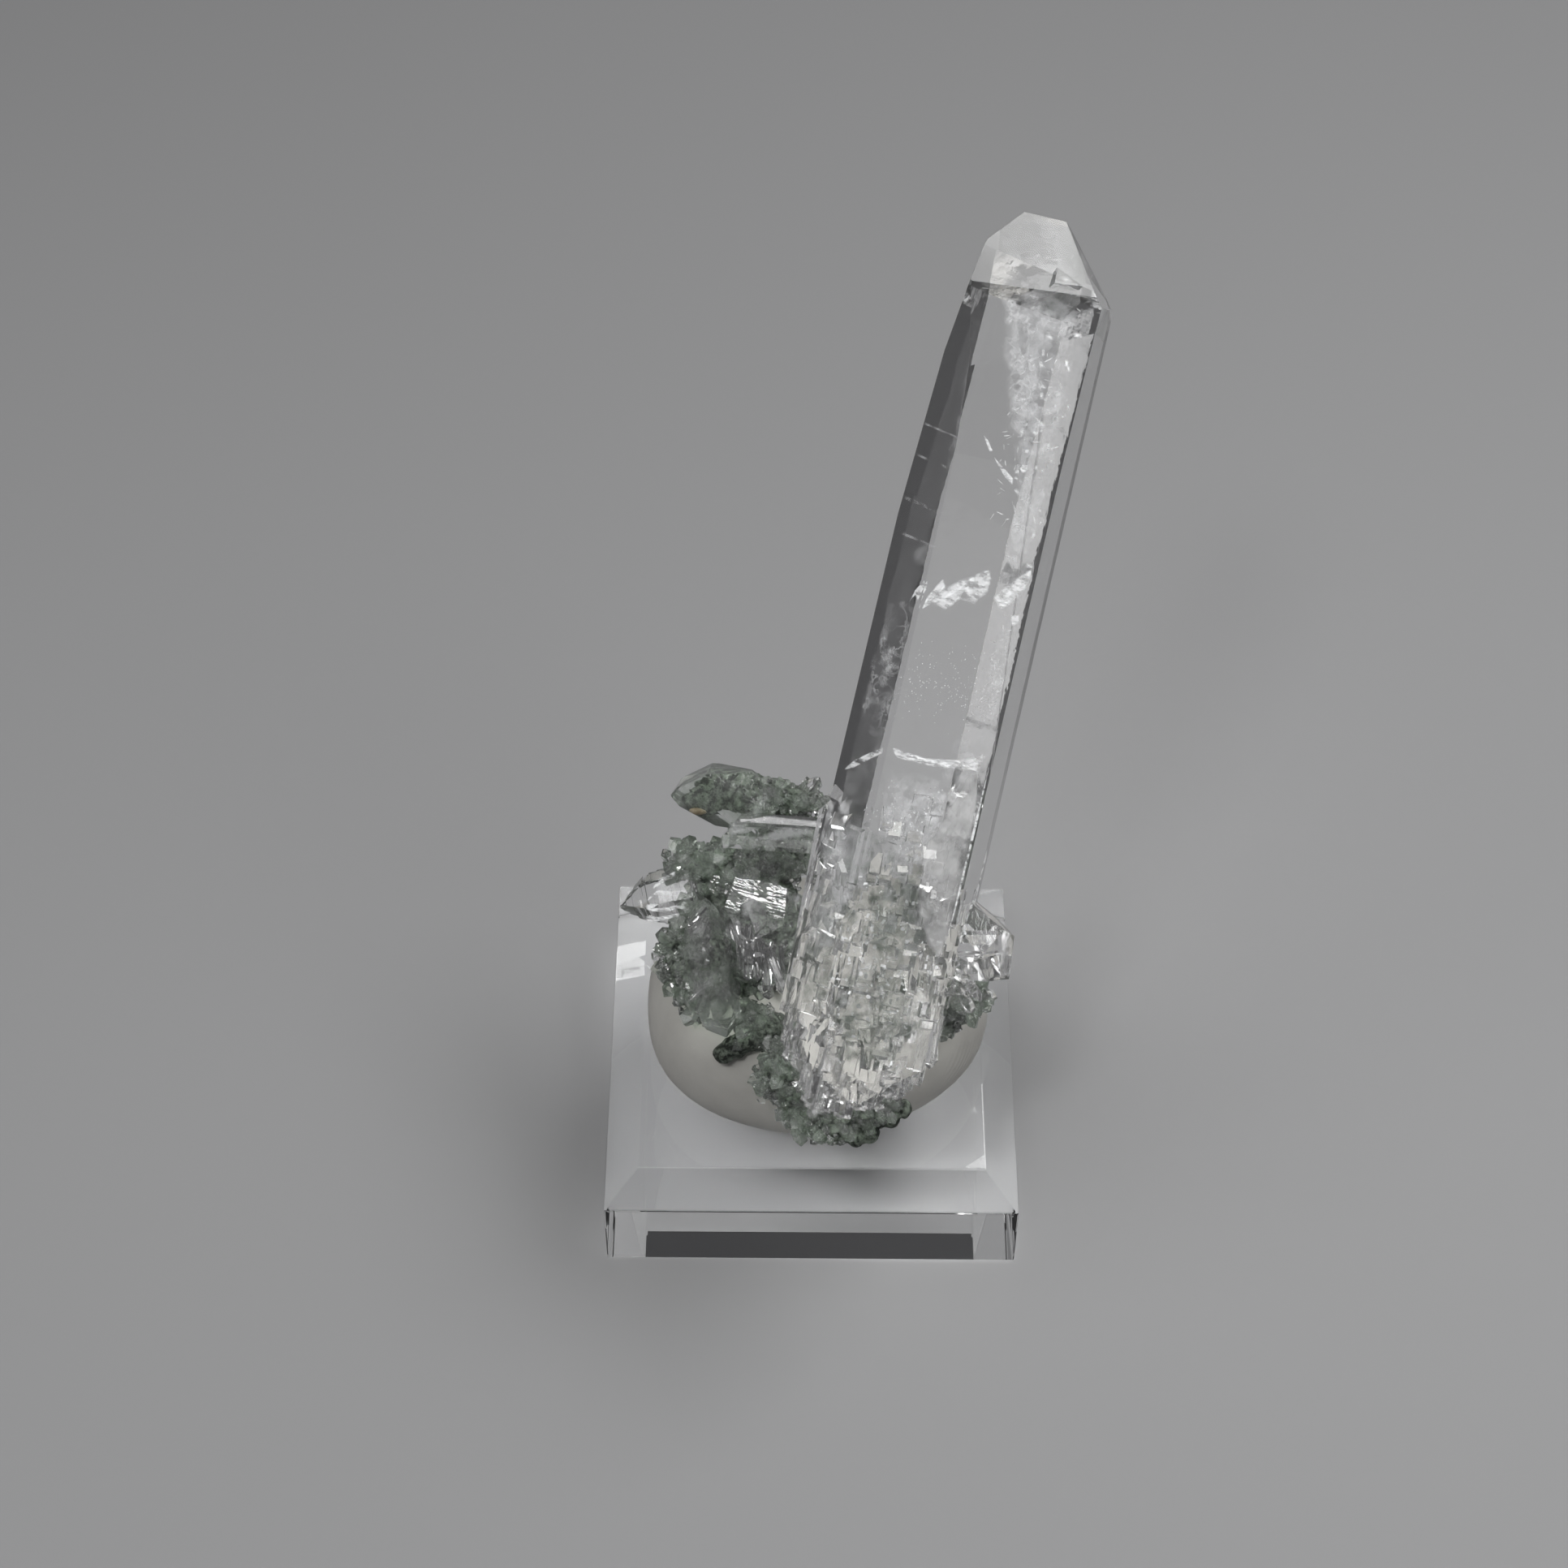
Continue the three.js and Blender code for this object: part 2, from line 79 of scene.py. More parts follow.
# And this way, the small lamp
SPARK = (-0.155, -0.981, 0.113)
# The prism's faces towards the viewer
LEFT_FRONT, FRONT, RIGHT_FRONT = range(3)

Number = float
Colour = tuple[float, float, float]
Place = tuple[float, float, float]
Span = tuple[Number, Number]
Thing = bpy.types.Object
Material = bpy.types.Material
Socket = bpy.types.NodeSocket


def grey(value: Number) -> Colour:
    """A neutral colour."""
    return (value, value, value)


def rgba(colour: Colour) -> tuple[float, float, float, float]:
    """A colour with full alpha, as the sockets take it."""
    return (*colour, 1.0)


def specimen_turn() -> Matrix:
    """The turn from the specimen's frame to the model's."""
    back = Matrix.Rotation(math.radians(-LEAN_BACK), 4, "X")
    right = Matrix.Rotation(math.radians(LEAN_RIGHT), 4, "Y")
    return back @ right @ Matrix.Rotation(math.radians(-TURN_LEFT), 4, "Z")


SPECIMEN = Matrix.Translation(ROOT_END) @ specimen_turn()


def aimed(position: Place, direction: Place, turn: Number = 0.0) -> Matrix:
    """A pose at a point with Z along a direction.

    Args:
        position: where the pose's origin goes.
        direction: where its Z axis points.
        turn: the turn about that axis, in degrees.

    Returns:
        The pose as a matrix.
    """
    swing = Vector((0, 0, 1)).rotation_difference(Vector(direction).normalized())
    spin = Matrix.Rotation(math.radians(turn), 4, "Z")
    return Matrix.Translation(Vector(position)) @ swing.to_matrix().to_4x4() @ spin


def askew(draw: random.Random, about_z: Span, about_x: Span) -> Matrix:
    """A small chance turn about Z and then X, within a span of radians each."""
    swing = Matrix.Rotation(draw.uniform(*about_z), 4, "Z")
    return swing @ Matrix.Rotation(draw.uniform(*about_x), 4, "X")


@dataclass(frozen=True)
class Facet:
    """A flat face.

    Its normal's azimuth runs from the viewer's side towards +X, its slope is from the long axis (0 is a
    prism face, 90 lies straight across), and it is out by reach at a given height.
    """

    azimuth: Number
    slope: Number
    reach: Number
    height: Number = 0.0

    def normal(self) -> Vector:
        """The face's outward normal."""
        a, s = math.radians(self.azimuth), math.radians(self.slope)
        return Vector((math.sin(a) * math.cos(s), -math.cos(a) * math.cos(s), math.sin(s)))

    def point(self) -> Vector:
        """The point of the face's plane that is nearest to the axis' origin."""
        s = math.radians(self.slope)
        return self.normal() * (math.cos(s) * self.reach + math.sin(s) * self.height)

    @classmethod
    def through(cls, normal: Place, place: Place) -> "Facet":
        """The face with a given normal that passes through a place."""
        facing, spot = Vector(normal).normalized(), Vector(place)
        slope = math.asin(facing.z)
        reach = (facing.dot(spot) - facing.z * spot.z) / math.cos(slope)
        return cls(math.degrees(math.atan2(facing.x, -facing.y)), math.degrees(slope), reach, spot.z)

    @classmethod
    def top(cls, height: Number) -> "Facet":
        """An end cut straight across at a height, facing up."""
        return cls(0, 90, 0, height)

    @classmethod
    def base(cls, height: Number) -> "Facet":
        """An end cut straight across at a height, facing down."""
        return cls(0, -90, 0, height)

    def out(self, step: Number) -> "Facet":
        """The same face, moved out along its normal."""
        return Facet(
            self.azimuth, self.slope, self.reach + step / math.cos(math.radians(self.slope)), self.height
        )


class Workbench:
    """The hand tools: primitives, cuts, copies, joins and modifiers."""

    @staticmethod
    def pick(*objects: Thing) -> None:
        """Selects these objects and nothing else, the first one active."""
        bpy.ops.object.select_all(action="DESELECT")
        for thing in objects:
            thing.select_set(True)
        bpy.context.view_layer.objects.active = objects[0]

    @staticmethod
    def named(name: str) -> Thing:
        """Names the object that an operator has just added."""
        thing = bpy.context.object
        thing.name = thing.data.name = name
        return thing

    @classmethod
    def block(cls, name: str, low: Place, high: Place) -> Thing:
        """A cuboid between two corners."""
        bpy.ops.object.select_all(action="DESELECT")
        centre = (Vector(low) + Vector(high)) / 2
        bpy.ops.mesh.primitive_cube_add(size=1, location=centre, scale=Vector(high) - Vector(low))
        thing = cls.named(name)
        bpy.ops.object.transform_apply(location=True, rotation=True, scale=True)
        return thing

    @classmethod
    def cut(cls, thing: Thing, facets: Iterable[Facet]) -> Thing:
        """Cuts a solid back to each facet in turn, as a lapidary would.

        Args:
            thing: the solid.
            facets: the faces it is cut to.

        Returns:
            The same solid.
        """
        cls.pick(thing)
        bpy.ops.object.mode_set(mode="EDIT")
        for facet in facets:
            bpy.ops.mesh.select_all(action="SELECT")
            bpy.ops.mesh.bisect(
                plane_co=facet.point(), plane_no=facet.normal(), use_fill=True, clear_outer=True,
                threshold=1e-5,
            )
        bpy.ops.object.mode_set(mode="OBJECT")
        return thing

    @classmethod
    def crystal(
        cls, name: str, facets: Iterable[Facet], span: Number, pose: Optional[Matrix] = None
    ) -> Thing:
        """A crystal cut from a block.

        Args:
            name: the object's name.
            facets: its faces.
            span: half the block's width, which the faces must cut into on every side.
            pose: where the crystal goes, if it isn't left at the origin.

        Returns:
            The crystal.
        """
        thing = cls.block(name, (-span, -span, -span), (span, span, span))
        cls.cut(thing, facets)
        if pose is not None:
            thing.data.transform(pose)
        return thing

    @staticmethod
    def copy(form: Thing, name: str, pose: Matrix) -> Thing:
        """A copy of a form with its own mesh, at a pose."""
        thing = form.copy()
        thing.data = form.data.copy()
        thing.data.transform(pose)
        thing.name = thing.data.name = name
        bpy.context.scene.collection.objects.link(thing)
        return thing

    @classmethod
    def join(cls, things: Sequence[Thing], name: str) -> Thing:
        """Joins objects in one, without cutting them."""
        cls.pick(*things)
        if len(things) > 1:
            bpy.ops.object.join()
        return cls.named(name)

    @classmethod
    def apply(cls, thing: Thing, kind: str, **settings: object) -> Thing:
        """Adds a modifier with its settings and applies it."""
        cls.pick(thing)
        modifier = thing.modifiers.new(kind, kind)
        for key, value in settings.items():
            setattr(modifier, key, value)
        bpy.ops.object.modifier_apply(modifier=modifier.name)
        return thing

    @classmethod
    def bevel(cls, thing: Thing, width: Number, segments: int, angle: Number) -> Thing:
        """Rounds the edges that turn by more than an angle, in radians."""
        return cls.apply(
            thing, "BEVEL", width=width, segments=segments, limit_method="ANGLE", angle_limit=angle
        )

    @classmethod
    def combine(cls, body: Thing, tools: Sequence[Thing], operation: str) -> Thing:
        """Adds tools to a body, or cuts them from it, and removes them.

        Args:
            body: the solid that stays.
            tools: the solids that are used up.
            operation: UNION or DIFFERENCE.

        Returns:
            The body.
        """
        bench = bpy.data.collections.new("bench")
        for tool in tools:
            bench.objects.link(tool)
        cls.apply(
            body, "BOOLEAN", operation=operation, operand_type="COLLECTION", collection=bench, solver="EXACT"
        )
        cls.discard(*tools)
        bpy.data.collections.remove(bench)
        return body

    @classmethod
    def terrace(cls, thing: Thing, facing: Vector, steps: Iterable[Span]) -> None:
        """Insets the faces that face one way, step by step.

        Args:
            thing: the solid.
            facing: which way the faces look.
            steps: how far each step goes in from the edge, and how far out along the faces' normal.
        """
        cls.pick(thing)
        bpy.ops.object.mode_set(mode="EDIT")
        bpy.ops.mesh.select_mode(type="FACE")
        bpy.ops.mesh.select_all(action="DESELECT")
        bpy.ops.object.mode_set(mode="OBJECT")
        for face in thing.data.polygons:
            face.select = face.normal.dot(facing) > 0.99
        bpy.ops.object.mode_set(mode="EDIT")
        for inward, outward in steps:
            bpy.ops.mesh.inset(thickness=inward)
            bpy.ops.mesh.extrude_region_move(TRANSFORM_OT_translate={"value": facing * outward})
        bpy.ops.mesh.select_mode(type="VERT")
        bpy.ops.object.mode_set(mode="OBJECT")

    @classmethod
    def outlined(cls, name: str, outline: Sequence[Place]) -> Thing:
        """Draws a face corner by corner and fills it; it is left in edit mode, selected."""
        bpy.ops.object.select_all(action="DESELECT")
        bpy.ops.mesh.primitive_plane_add(size=0.01, location=outline[0])
        thing = cls.named(name)
        bpy.ops.object.transform_apply(location=True, rotation=True, scale=True)
        bpy.ops.object.mode_set(mode="EDIT")
        bpy.ops.mesh.select_all(action="SELECT")
        bpy.ops.mesh.merge(type="CENTER")
        for here, there in zip(outline, outline[1:]):
            bpy.ops.mesh.extrude_region_move(TRANSFORM_OT_translate={"value": Vector(there) - Vector(here)})
        bpy.ops.mesh.select_all(action="SELECT")
        bpy.ops.mesh.edge_face_add()
        return thing

    @classmethod
    def prism(cls, name: str, outline: Sequence[Place], away: Vector) -> Thing:
        """A solid with this outline, drawn out one way."""
        thing = cls.outlined(name, outline)
        bpy.ops.mesh.extrude_region_move(TRANSFORM_OT_translate={"value": away})
        bpy.ops.mesh.select_all(action="SELECT")
        bpy.ops.mesh.normals_make_consistent(inside=False)
        bpy.ops.object.mode_set(mode="OBJECT")
        return thing

    @classmethod
    def traced(cls, name: str, outline: Sequence[Place], rag: Number, cuts: int, seed: int) -> Thing:
        """A ragged film, drawn corner by corner and filled.

        Args:
            name: the object's name.
            outline: its corners, in order.
            rag: how far its edge and surface stray, from 0.
            cuts: how finely it is divided.
            seed: the seed of its raggedness.

        Returns:
            The film, which has no thickness, as a healed crack has none. Its "cover" falls to 0 at its edge.
        """
        thing = cls.outlined(name, outline)
        bpy.ops.mesh.quads_convert_to_tris()
        bpy.ops.mesh.subdivide(number_cuts=cuts, fractal=rag, fractal_along_normal=0.35, seed=seed)
        bpy.ops.mesh.select_all(action="SELECT")
        bpy.ops.mesh.region_to_loop()
        bpy.ops.object.mode_set(mode="OBJECT")
        cover = thing.data.attributes.new("cover", "FLOAT", "POINT")
        for vertex, value in zip(thing.data.vertices, cover.data):
            value.value = 0.0 if vertex.select else 1.0
        return thing

    @classmethod
    def knob(cls, name: str, radii: Place, pose: Matrix, detail: int = 4) -> Thing:
        """A rounded lump, stretched along its own three radii and posed."""
        bpy.ops.object.select_all(action="DESELECT")
        bpy.ops.mesh.primitive_ico_sphere_add(subdivisions=detail, radius=1)
        thing = cls.named(name)
        thing.data.transform(pose @ Matrix.Diagonal((*radii, 1)))
        return thing

    @classmethod
    def roughen(cls, thing: Thing, size: Number, strength: Number) -> Thing:
        """Pushes the surface in and out by clouds of a size, in millimetres."""
        clouds = bpy.data.textures.new(f"{thing.name}_clouds", "CLOUDS")
        clouds.noise_scale = size
        clouds.noise_depth = 3
        cls.apply(thing, "DISPLACE", texture=clouds, texture_coords="LOCAL", strength=strength, mid_level=0.5)
        bpy.data.textures.remove(clouds)
        return thing

    @classmethod
    def weld(cls, things: Sequence[Thing], name: str, voxel: Number) -> Thing:
        """Joins lumps and fuses them in one skin, with smooth shading."""
        thing = cls.join(things, name)
        cls.apply(thing, "REMESH", mode="VOXEL", voxel_size=voxel)
        cls.pick(thing)
        bpy.ops.object.shade_smooth()
        return thing

    @staticmethod
    def discard(*things: Thing) -> None:
        """Removes objects and their meshes."""
        for thing in things:
            mesh = thing.data
            bpy.data.objects.remove(thing)
            bpy.data.meshes.remove(mesh)


class Slot(Enum):
    """The record's material slots."""

    ACRYLIC = "clear_acrylic"
    PUTTY = "mineral_putty"
    QUARTZ = "clear_quartz"
    CHLORITE = "chlorite_quartz"


class Node(Enum):
    """The solids that the pieces stand for."""

    BASE = "display_base"
    PUTTY = "mounting_putty"
    QUARTZ = "quartz_crystals"
    POINT = "left_point"
    LEFT = "chlorite_crystals_left"
    RIGHT = "chlorite_crystals_right"


def settle(
    thing: Thing, node: Node, material: Material, pose: Matrix = SPECIMEN
) -> Thing:
    """Args:
        thing: the piece, modelled in millimetres.
        node: the solid that it stands for.
        material: its finish.
        pose: from the frame it was modelled in to the model's.

    Returns:
        The piece.
    """
    thing.data.transform(Matrix.Scale(MM, 4) @ pose)
    thing.data.materials.clear()
    thing.data.materials.append(material)
    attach(thing, BODY)
    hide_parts(node.value)
    log.info("%s: %d faces for %s", thing.name, len(thing.data.polygons), node.value)
    return thing


class Shade:
    """A material under construction: its nodes, added and linked by hand."""

    def __init__(self, name: str) -> None:
        self.material = bpy.data.materials.new(name)
        self.material.use_nodes = True
        self.tree = self.material.node_tree
        self.surface = self.tree.nodes["Principled BSDF"]
        self.output = self.tree.nodes["Material Output"]

    def add(self, kind: str, **settings: object) -> bpy.types.Node:
        """Adds a node; settings name its properties."""
        node = self.tree.nodes.new(kind)
        for key, value in settings.items():
            setattr(node, key, value)
        return node

    def link(self, source: Socket, target: Socket) -> None:
        """Links two sockets."""
        self.tree.links.new(source, target)

    def base(self, **values: object) -> None:
        """Sets the shader's own sockets; names are the sockets' names with underscores."""
        for key, value in values.items():
            self.surface.inputs[key.replace("_", " ")].default_value = value

    def drive(self, name: str, value: Socket) -> None:
        """Links a value to one of the shader's own sockets."""
        self.link(value, self.surface.inputs[name])

    def specimen_place(self) -> Socket:
        """The place in the specimen's frame, in millimetres."""
        inverse = SPECIMEN.inverted()
        mapping = self.add("ShaderNodeMapping")
        mapping.inputs["Location"].default_value = inverse.translation
        mapping.inputs["Rotation"].default_value = inverse.to_euler("XYZ")
        mapping.inputs["Scale"].default_value = (1 / MM, 1 / MM, 1 / MM)
        self.link(self.add("ShaderNodeTexCoord").outputs["Object"], mapping.inputs["Vector"])
        return mapping.outputs["Vector"]

    def model_place(self) -> Socket:
        """The place in the model's frame, in millimetres."""
        return self.scaled(self.add("ShaderNodeTexCoord").outputs["Object"], (1 / MM, 1 / MM, 1 / MM))

    def scaled(self, place: Socket, scale: Place) -> Socket:
        """A place with each axis scaled."""
        node = self.add("ShaderNodeVectorMath", operation="MULTIPLY")
        node.inputs[1].default_value = scale
        self.link(place, node.inputs[0])
        return node.outputs["Vector"]

    def noise(
        self, place: Socket, scale: Number, detail: Number = 2.0, rough: Number = 0.5
    ) -> Socket:
        """Soft noise from 0 to 1, this many lumps to the millimetre."""
        node = self.add("ShaderNodeTexNoise")
        node.inputs["Scale"].default_value = scale
        node.inputs["Detail"].default_value = detail
        node.inputs["Roughness"].default_value = rough
        self.link(place, node.inputs["Vector"])
        return node.outputs["Fac"]

    def spread(
        self, value: Socket, low: Number, high: Number, to_low: Number = 0.0, to_high: Number = 1.0
    ) -> Socket:
        """Maps a range of a value to another, clamped."""
        node = self.add("ShaderNodeMapRange", clamp=True)
        for name, number in (("From Min", low), ("From Max", high), ("To Min", to_low), ("To Max", to_high)):
            node.inputs[name].default_value = number
        self.link(value, node.inputs["Value"])
        return node.outputs["Result"]

    def maths(self, operation: str, *values: object) -> Socket:
        """A math node on sockets and numbers."""
        node = self.add("ShaderNodeMath", operation=operation)
        for socket, value in zip(node.inputs, values):
            if isinstance(value, (int, float)):
                socket.default_value = value
            else:
                self.link(value, socket)
        return node.outputs["Value"]

    def between(self, factor: Socket, first: Colour, second: Colour) -> Socket:
        """A colour between two, by a factor."""
        node = self.add("ShaderNodeMix", data_type="RGBA")
        node.inputs[6].default_value = rgba(first)
        node.inputs[7].default_value = rgba(second)
        self.link(factor, node.inputs[0])
        return node.outputs[2]

    def cover(self, alpha: Socket) -> None:
        """Sets the alpha of a film, which thins out towards its edge."""
        thins = self.add("ShaderNodeAttribute", attribute_type="GEOMETRY", attribute_name="cover")
        self.drive("Alpha", self.maths("MULTIPLY", alpha, thins.outputs["Fac"]))

    def bump(self, height: Socket, strength: Number, depth: Number) -> None:
        """Adds relief to the surface, on top of what it has; depth is in millimetres."""
        node = self.add("ShaderNodeBump")
        node.inputs["Strength"].default_value = strength
        node.inputs["Distance"].default_value = depth * MM
        self.link(height, node.inputs["Height"])
        normal = self.surface.inputs["Normal"]
        if normal.is_linked:
            self.link(normal.links[0].from_socket, node.inputs["Normal"])
        self.link(node.outputs["Normal"], normal)

    def let_lamps_through(self, colour: Colour) -> None:
        """Lets lamps light what is inside or behind the glass."""
        mix = self.add("ShaderNodeMixShader")
        clear = self.add("ShaderNodeBsdfTransparent")
        clear.inputs["Color"].default_value = rgba(colour)
        self.link(self.add("ShaderNodeLightPath").outputs["Is Shadow Ray"], mix.inputs[0])
        self.link(self.surface.outputs["BSDF"], mix.inputs[1])
        self.link(clear.outputs["BSDF"], mix.inputs[2])
        self.link(mix.outputs["Shader"], self.output.inputs["Surface"])


@dataclass(frozen=True)
class Finish:
    """A named material; each kind of it paints its own nodes."""

    name: str

    def paint(self, shade: Shade) -> None:
        """Sets the shader and its nodes."""

    def material(self) -> Material:
        """Builds the material."""
        shade = Shade(self.name)
        self.paint(shade)
        return shade.material


@dataclass(frozen=True)
class ClearQuartz(Finish):
    """Rock crystal: clear, with fine growth lines across its sides and a frosted, etched root."""

    name: str = "clear_quartz"
    lines: Number = 0.35
    etch: Number = 1.0
    etched_below: Number = 24.0
    fades_over: Number = 9.0
    etched_right_of: Number = -7.0
    frost: Number = 0.05

    def paint(self, shade: Shade) -> None:
        """Sets the shader and its nodes."""
        shade.base(Base_Color=rgba(grey(0.985)), Transmission_Weight=0.98, IOR=QUARTZ_IOR, Roughness=0.0)
        place = shade.specimen_place()
        height = shade.add("ShaderNodeSeparateXYZ")
        shade.link(place, height.inputs[0])
        full = self.etched_below - self.fades_over
        low = shade.spread(height.outputs["Z"], self.etched_below, full, 0.0, self.etch)
        side = shade.spread(height.outputs["X"], self.etched_right_of, self.etched_right_of + 1)
        etched = shade.maths("MULTIPLY", low, side)
        patches = shade.spread(shade.noise(place, 0.55, 3), 0.42, 0.62)
        frost = shade.maths("MULTIPLY", etched, patches)
        shade.drive("Roughness", shade.maths("MULTIPLY", frost, self.frost))
        lines = shade.noise(shade.scaled(place, (0.05, 0.05, 2.6)), 1.0, 4, 0.62)
        shade.bump(shade.maths("MULTIPLY", lines, patches), self.lines, 0.02)
        pits = shade.noise(shade.scaled(place, (1.6, 1.6, 0.6)), 1.5, 4)
        shade.bump(shade.maths("MULTIPLY", pits, etched), 0.35, 0.12)
        shade.let_lamps_through(grey(0.82))


@dataclass(frozen=True)
class CastAcrylic(Finish):
    """Clear cast acrylic, polished."""

    name: str = "clear_acrylic"
    ior: Number = 1.49

    def paint(self, shade: Shade) -> None:
        """Sets the shader and its nodes."""
        shade.base(Base_Color=rgba((0.985, 0.99, 0.99)), Transmission_Weight=1.0, IOR=self.ior, Roughness=0.0)
        place = shade.model_place()
        shade.drive("Roughness", shade.spread(shade.noise(place, 0.3, 3), 0.45, 0.8, 0.0, 0.03))
        shade.let_lamps_through(grey(0.9))


@dataclass(frozen=True)
class MineralPutty(Finish):
    """Off-white putty, kneaded smooth, with faint ridges where a finger pressed it."""

    name: str = "mineral_putty"
    pale: Colour = (0.5, 0.49, 0.46)
    dull: Colour = (0.42, 0.41, 0.385)
    pitch: Number = 0.66
    pressed: Place = (11.6, -5.5, 14.0)
    patch: Span = (4.2, 2.2)

    def paint(self, shade: Shade) -> None:
        """Sets the shader and its nodes."""
        shade.base(Roughness=0.55, IOR=1.45)
        place = shade.model_place()
        worn = shade.spread(shade.noise(place, 0.22, 4), 0.35, 0.7)
        shade.drive("Base Color", shade.between(worn, self.pale, self.dull))
        shade.bump(shade.noise(place, 1.8, 4), 0.25, 0.08)
        axes = shade.add("ShaderNodeSeparateXYZ")
        shade.link(shade.scaled(place, (2 * math.pi / self.pitch,) * 3), axes.inputs[0])
        ridges = shade.maths("SINE", shade.maths("SUBTRACT", axes.outputs["Z"], axes.outputs["Y"]))
        away = shade.add("ShaderNodeVectorMath", operation="DISTANCE")
        shade.link(place, away.inputs[0])
        away.inputs[1].default_value = self.pressed
        near = shade.spread(away.outputs["Value"], *self.patch)
        shade.bump(shade.maths("MULTIPLY", ridges, near), 0.35, 0.04)


@dataclass(frozen=True)
class Chlorite(Finish):
    """Earthy green chlorite, in fine felted grains."""

    name: str = "chlorite"
    dark: Colour = (0.006, 0.009, 0.006)
    light: Colour = (0.2, 0.235, 0.19)

    def paint(self, shade: Shade) -> None:
        """Sets the shader and its nodes."""
        shade.base(Roughness=0.8, IOR=1.5)
        place = shade.specimen_place()
        grains = shade.spread(shade.noise(place, 1.5, 7, 0.72), 0.43, 0.62)
        shade.drive("Base Color", shade.between(grains, self.dark, self.light))
        shade.bump(shade.noise(place, 3.2, 5, 0.7), 0.8, 0.25)


@dataclass(frozen=True)
class ChloriteQuartz(Finish):
    """Small glassy crystals, tinted by the chlorite that they grew over."""

    name: str = "chlorite_quartz"
    tint: Colour = (0.62, 0.67, 0.61)
    clear: Colour = (0.92, 0.94, 0.92)

    def paint(self, shade: Shade) -> None:
        """Sets the shader and its nodes."""
        shade.base(Transmission_Weight=0.92, IOR=QUARTZ_IOR)
        place = shade.specimen_place()
        cloud = shade.spread(shade.noise(place, 0.8, 4), 0.38, 0.62)
        shade.drive("Base Color", shade.between(cloud, self.tint, self.clear))
        shade.drive("Roughness", shade.spread(shade.noise(place, 1.7, 3), 0.4, 0.7, 0.0, 0.12))
        shade.bump(shade.noise(place, 2.4, 4), 0.25, 0.1)
        shade.let_lamps_through((0.86, 0.9, 0.86))


@dataclass(frozen=True)
class Cloudy(Finish):
    """The white of bubbles and healed cracks in clear quartz, thinning out to nothing. Some of its looks also
    carry painted shade, painted highlights and painted reflections.
    """

    name: str
    cover: Number
    grain: Number = 1.5
    white: Colour = (0.86, 0.87, 0.88)
    low: Number = 0.4
    high: Number = 0.6
    stretch: Place = (1, 1, 1)

    def paint(self, shade: Shade) -> None:
        """Sets the shader and its nodes."""
        shade.base(Base_Color=rgba(self.white), Roughness=0.35, IOR=1.5)
        place = shade.scaled(shade.specimen_place(), self.stretch)
        patches = shade.spread(shade.noise(place, self.grain, 3, 0.55), self.low, self.high)
        shade.cover(shade.maths("MULTIPLY", patches, self.cover))


@dataclass(frozen=True)
class Speck(Finish):
    """The solid white of a small bubble or flake."""

    name: str
    white: Colour = (0.8, 0.81, 0.82)

    def paint(self, shade: Shade) -> None:
        """Sets the shader and its nodes."""
        shade.base(Base_Color=rgba(self.white), Roughness=0.3, IOR=1.5)


@dataclass(frozen=True)
class Threads(Finish):
    """A web of white threads and curls, where a crack in the quartz has partly healed."""

    name: str
    cover: Number
    width: Number = 0.028
    grain: Number = 0.5
    white: Colour = (0.86, 0.87, 0.88)

    def paint(self, shade: Shade) -> None:
        """Sets the shader and its nodes."""
        shade.base(Base_Color=rgba(self.white), Roughness=0.35, IOR=1.5)
        place = shade.specimen_place()
        off = shade.maths("ABSOLUTE", shade.maths("SUBTRACT", shade.noise(place, self.grain, 3, 0.6), 0.5))
        thread = shade.spread(off, self.width, self.width * 0.3)
        patch = shade.spread(shade.noise(place, 0.4, 2), 0.4, 0.66)
        cloud = shade.maths(
            "MULTIPLY", patch, shade.spread(shade.noise(place, 0.9, 3, 0.6), 0.46, 0.74, 0.0, 0.7)
        )
        both = shade.maths(
            "MAXIMUM", shade.maths("MULTIPLY", thread, shade.spread(patch, 0, 1, 0.05, 0.45)), cloud
        )
        shade.cover(shade.maths("MULTIPLY", both, self.cover))


@dataclass(frozen=True)
class IronStain(Finish):
    """An amber stain of iron."""

    name: str = "iron_stain"
    dark: Colour = (0.17, 0.13, 0.075)
    light: Colour = (0.27, 0.23, 0.165)

    def paint(self, shade: Shade) -> None:
        """Sets the shader and its nodes."""
        shade.base(Roughness=0.4)
        grains = shade.spread(shade.noise(shade.specimen_place(), 2.5, 4), 0.35, 0.65)
        shade.drive("Base Color", shade.between(grains, self.dark, self.light))


def plain_facets(radius: Number, length: Number, flat: Number = 0.12, foot: Number = 0.0) -> list[Facet]:
    """The faces of a plain crystal: six sides, three tip faces, and a foot cut straight across."""
    sides = [Facet(a, 0, radius * (1 + flat * math.sin(i * GOLDEN_TURN))) for i, a in enumerate(SIDES)]
    return [*sides, *(Facet(a, RHOMB_SLOPE, 0, length) for a in SIDES[::2]), Facet.base(foot)]


@dataclass(frozen=True)
class Ring:
    """A ledge of later growth on the prism's front left side, from its foot up to its rim."""

    foot: Number
    rim: Number
    out: Number


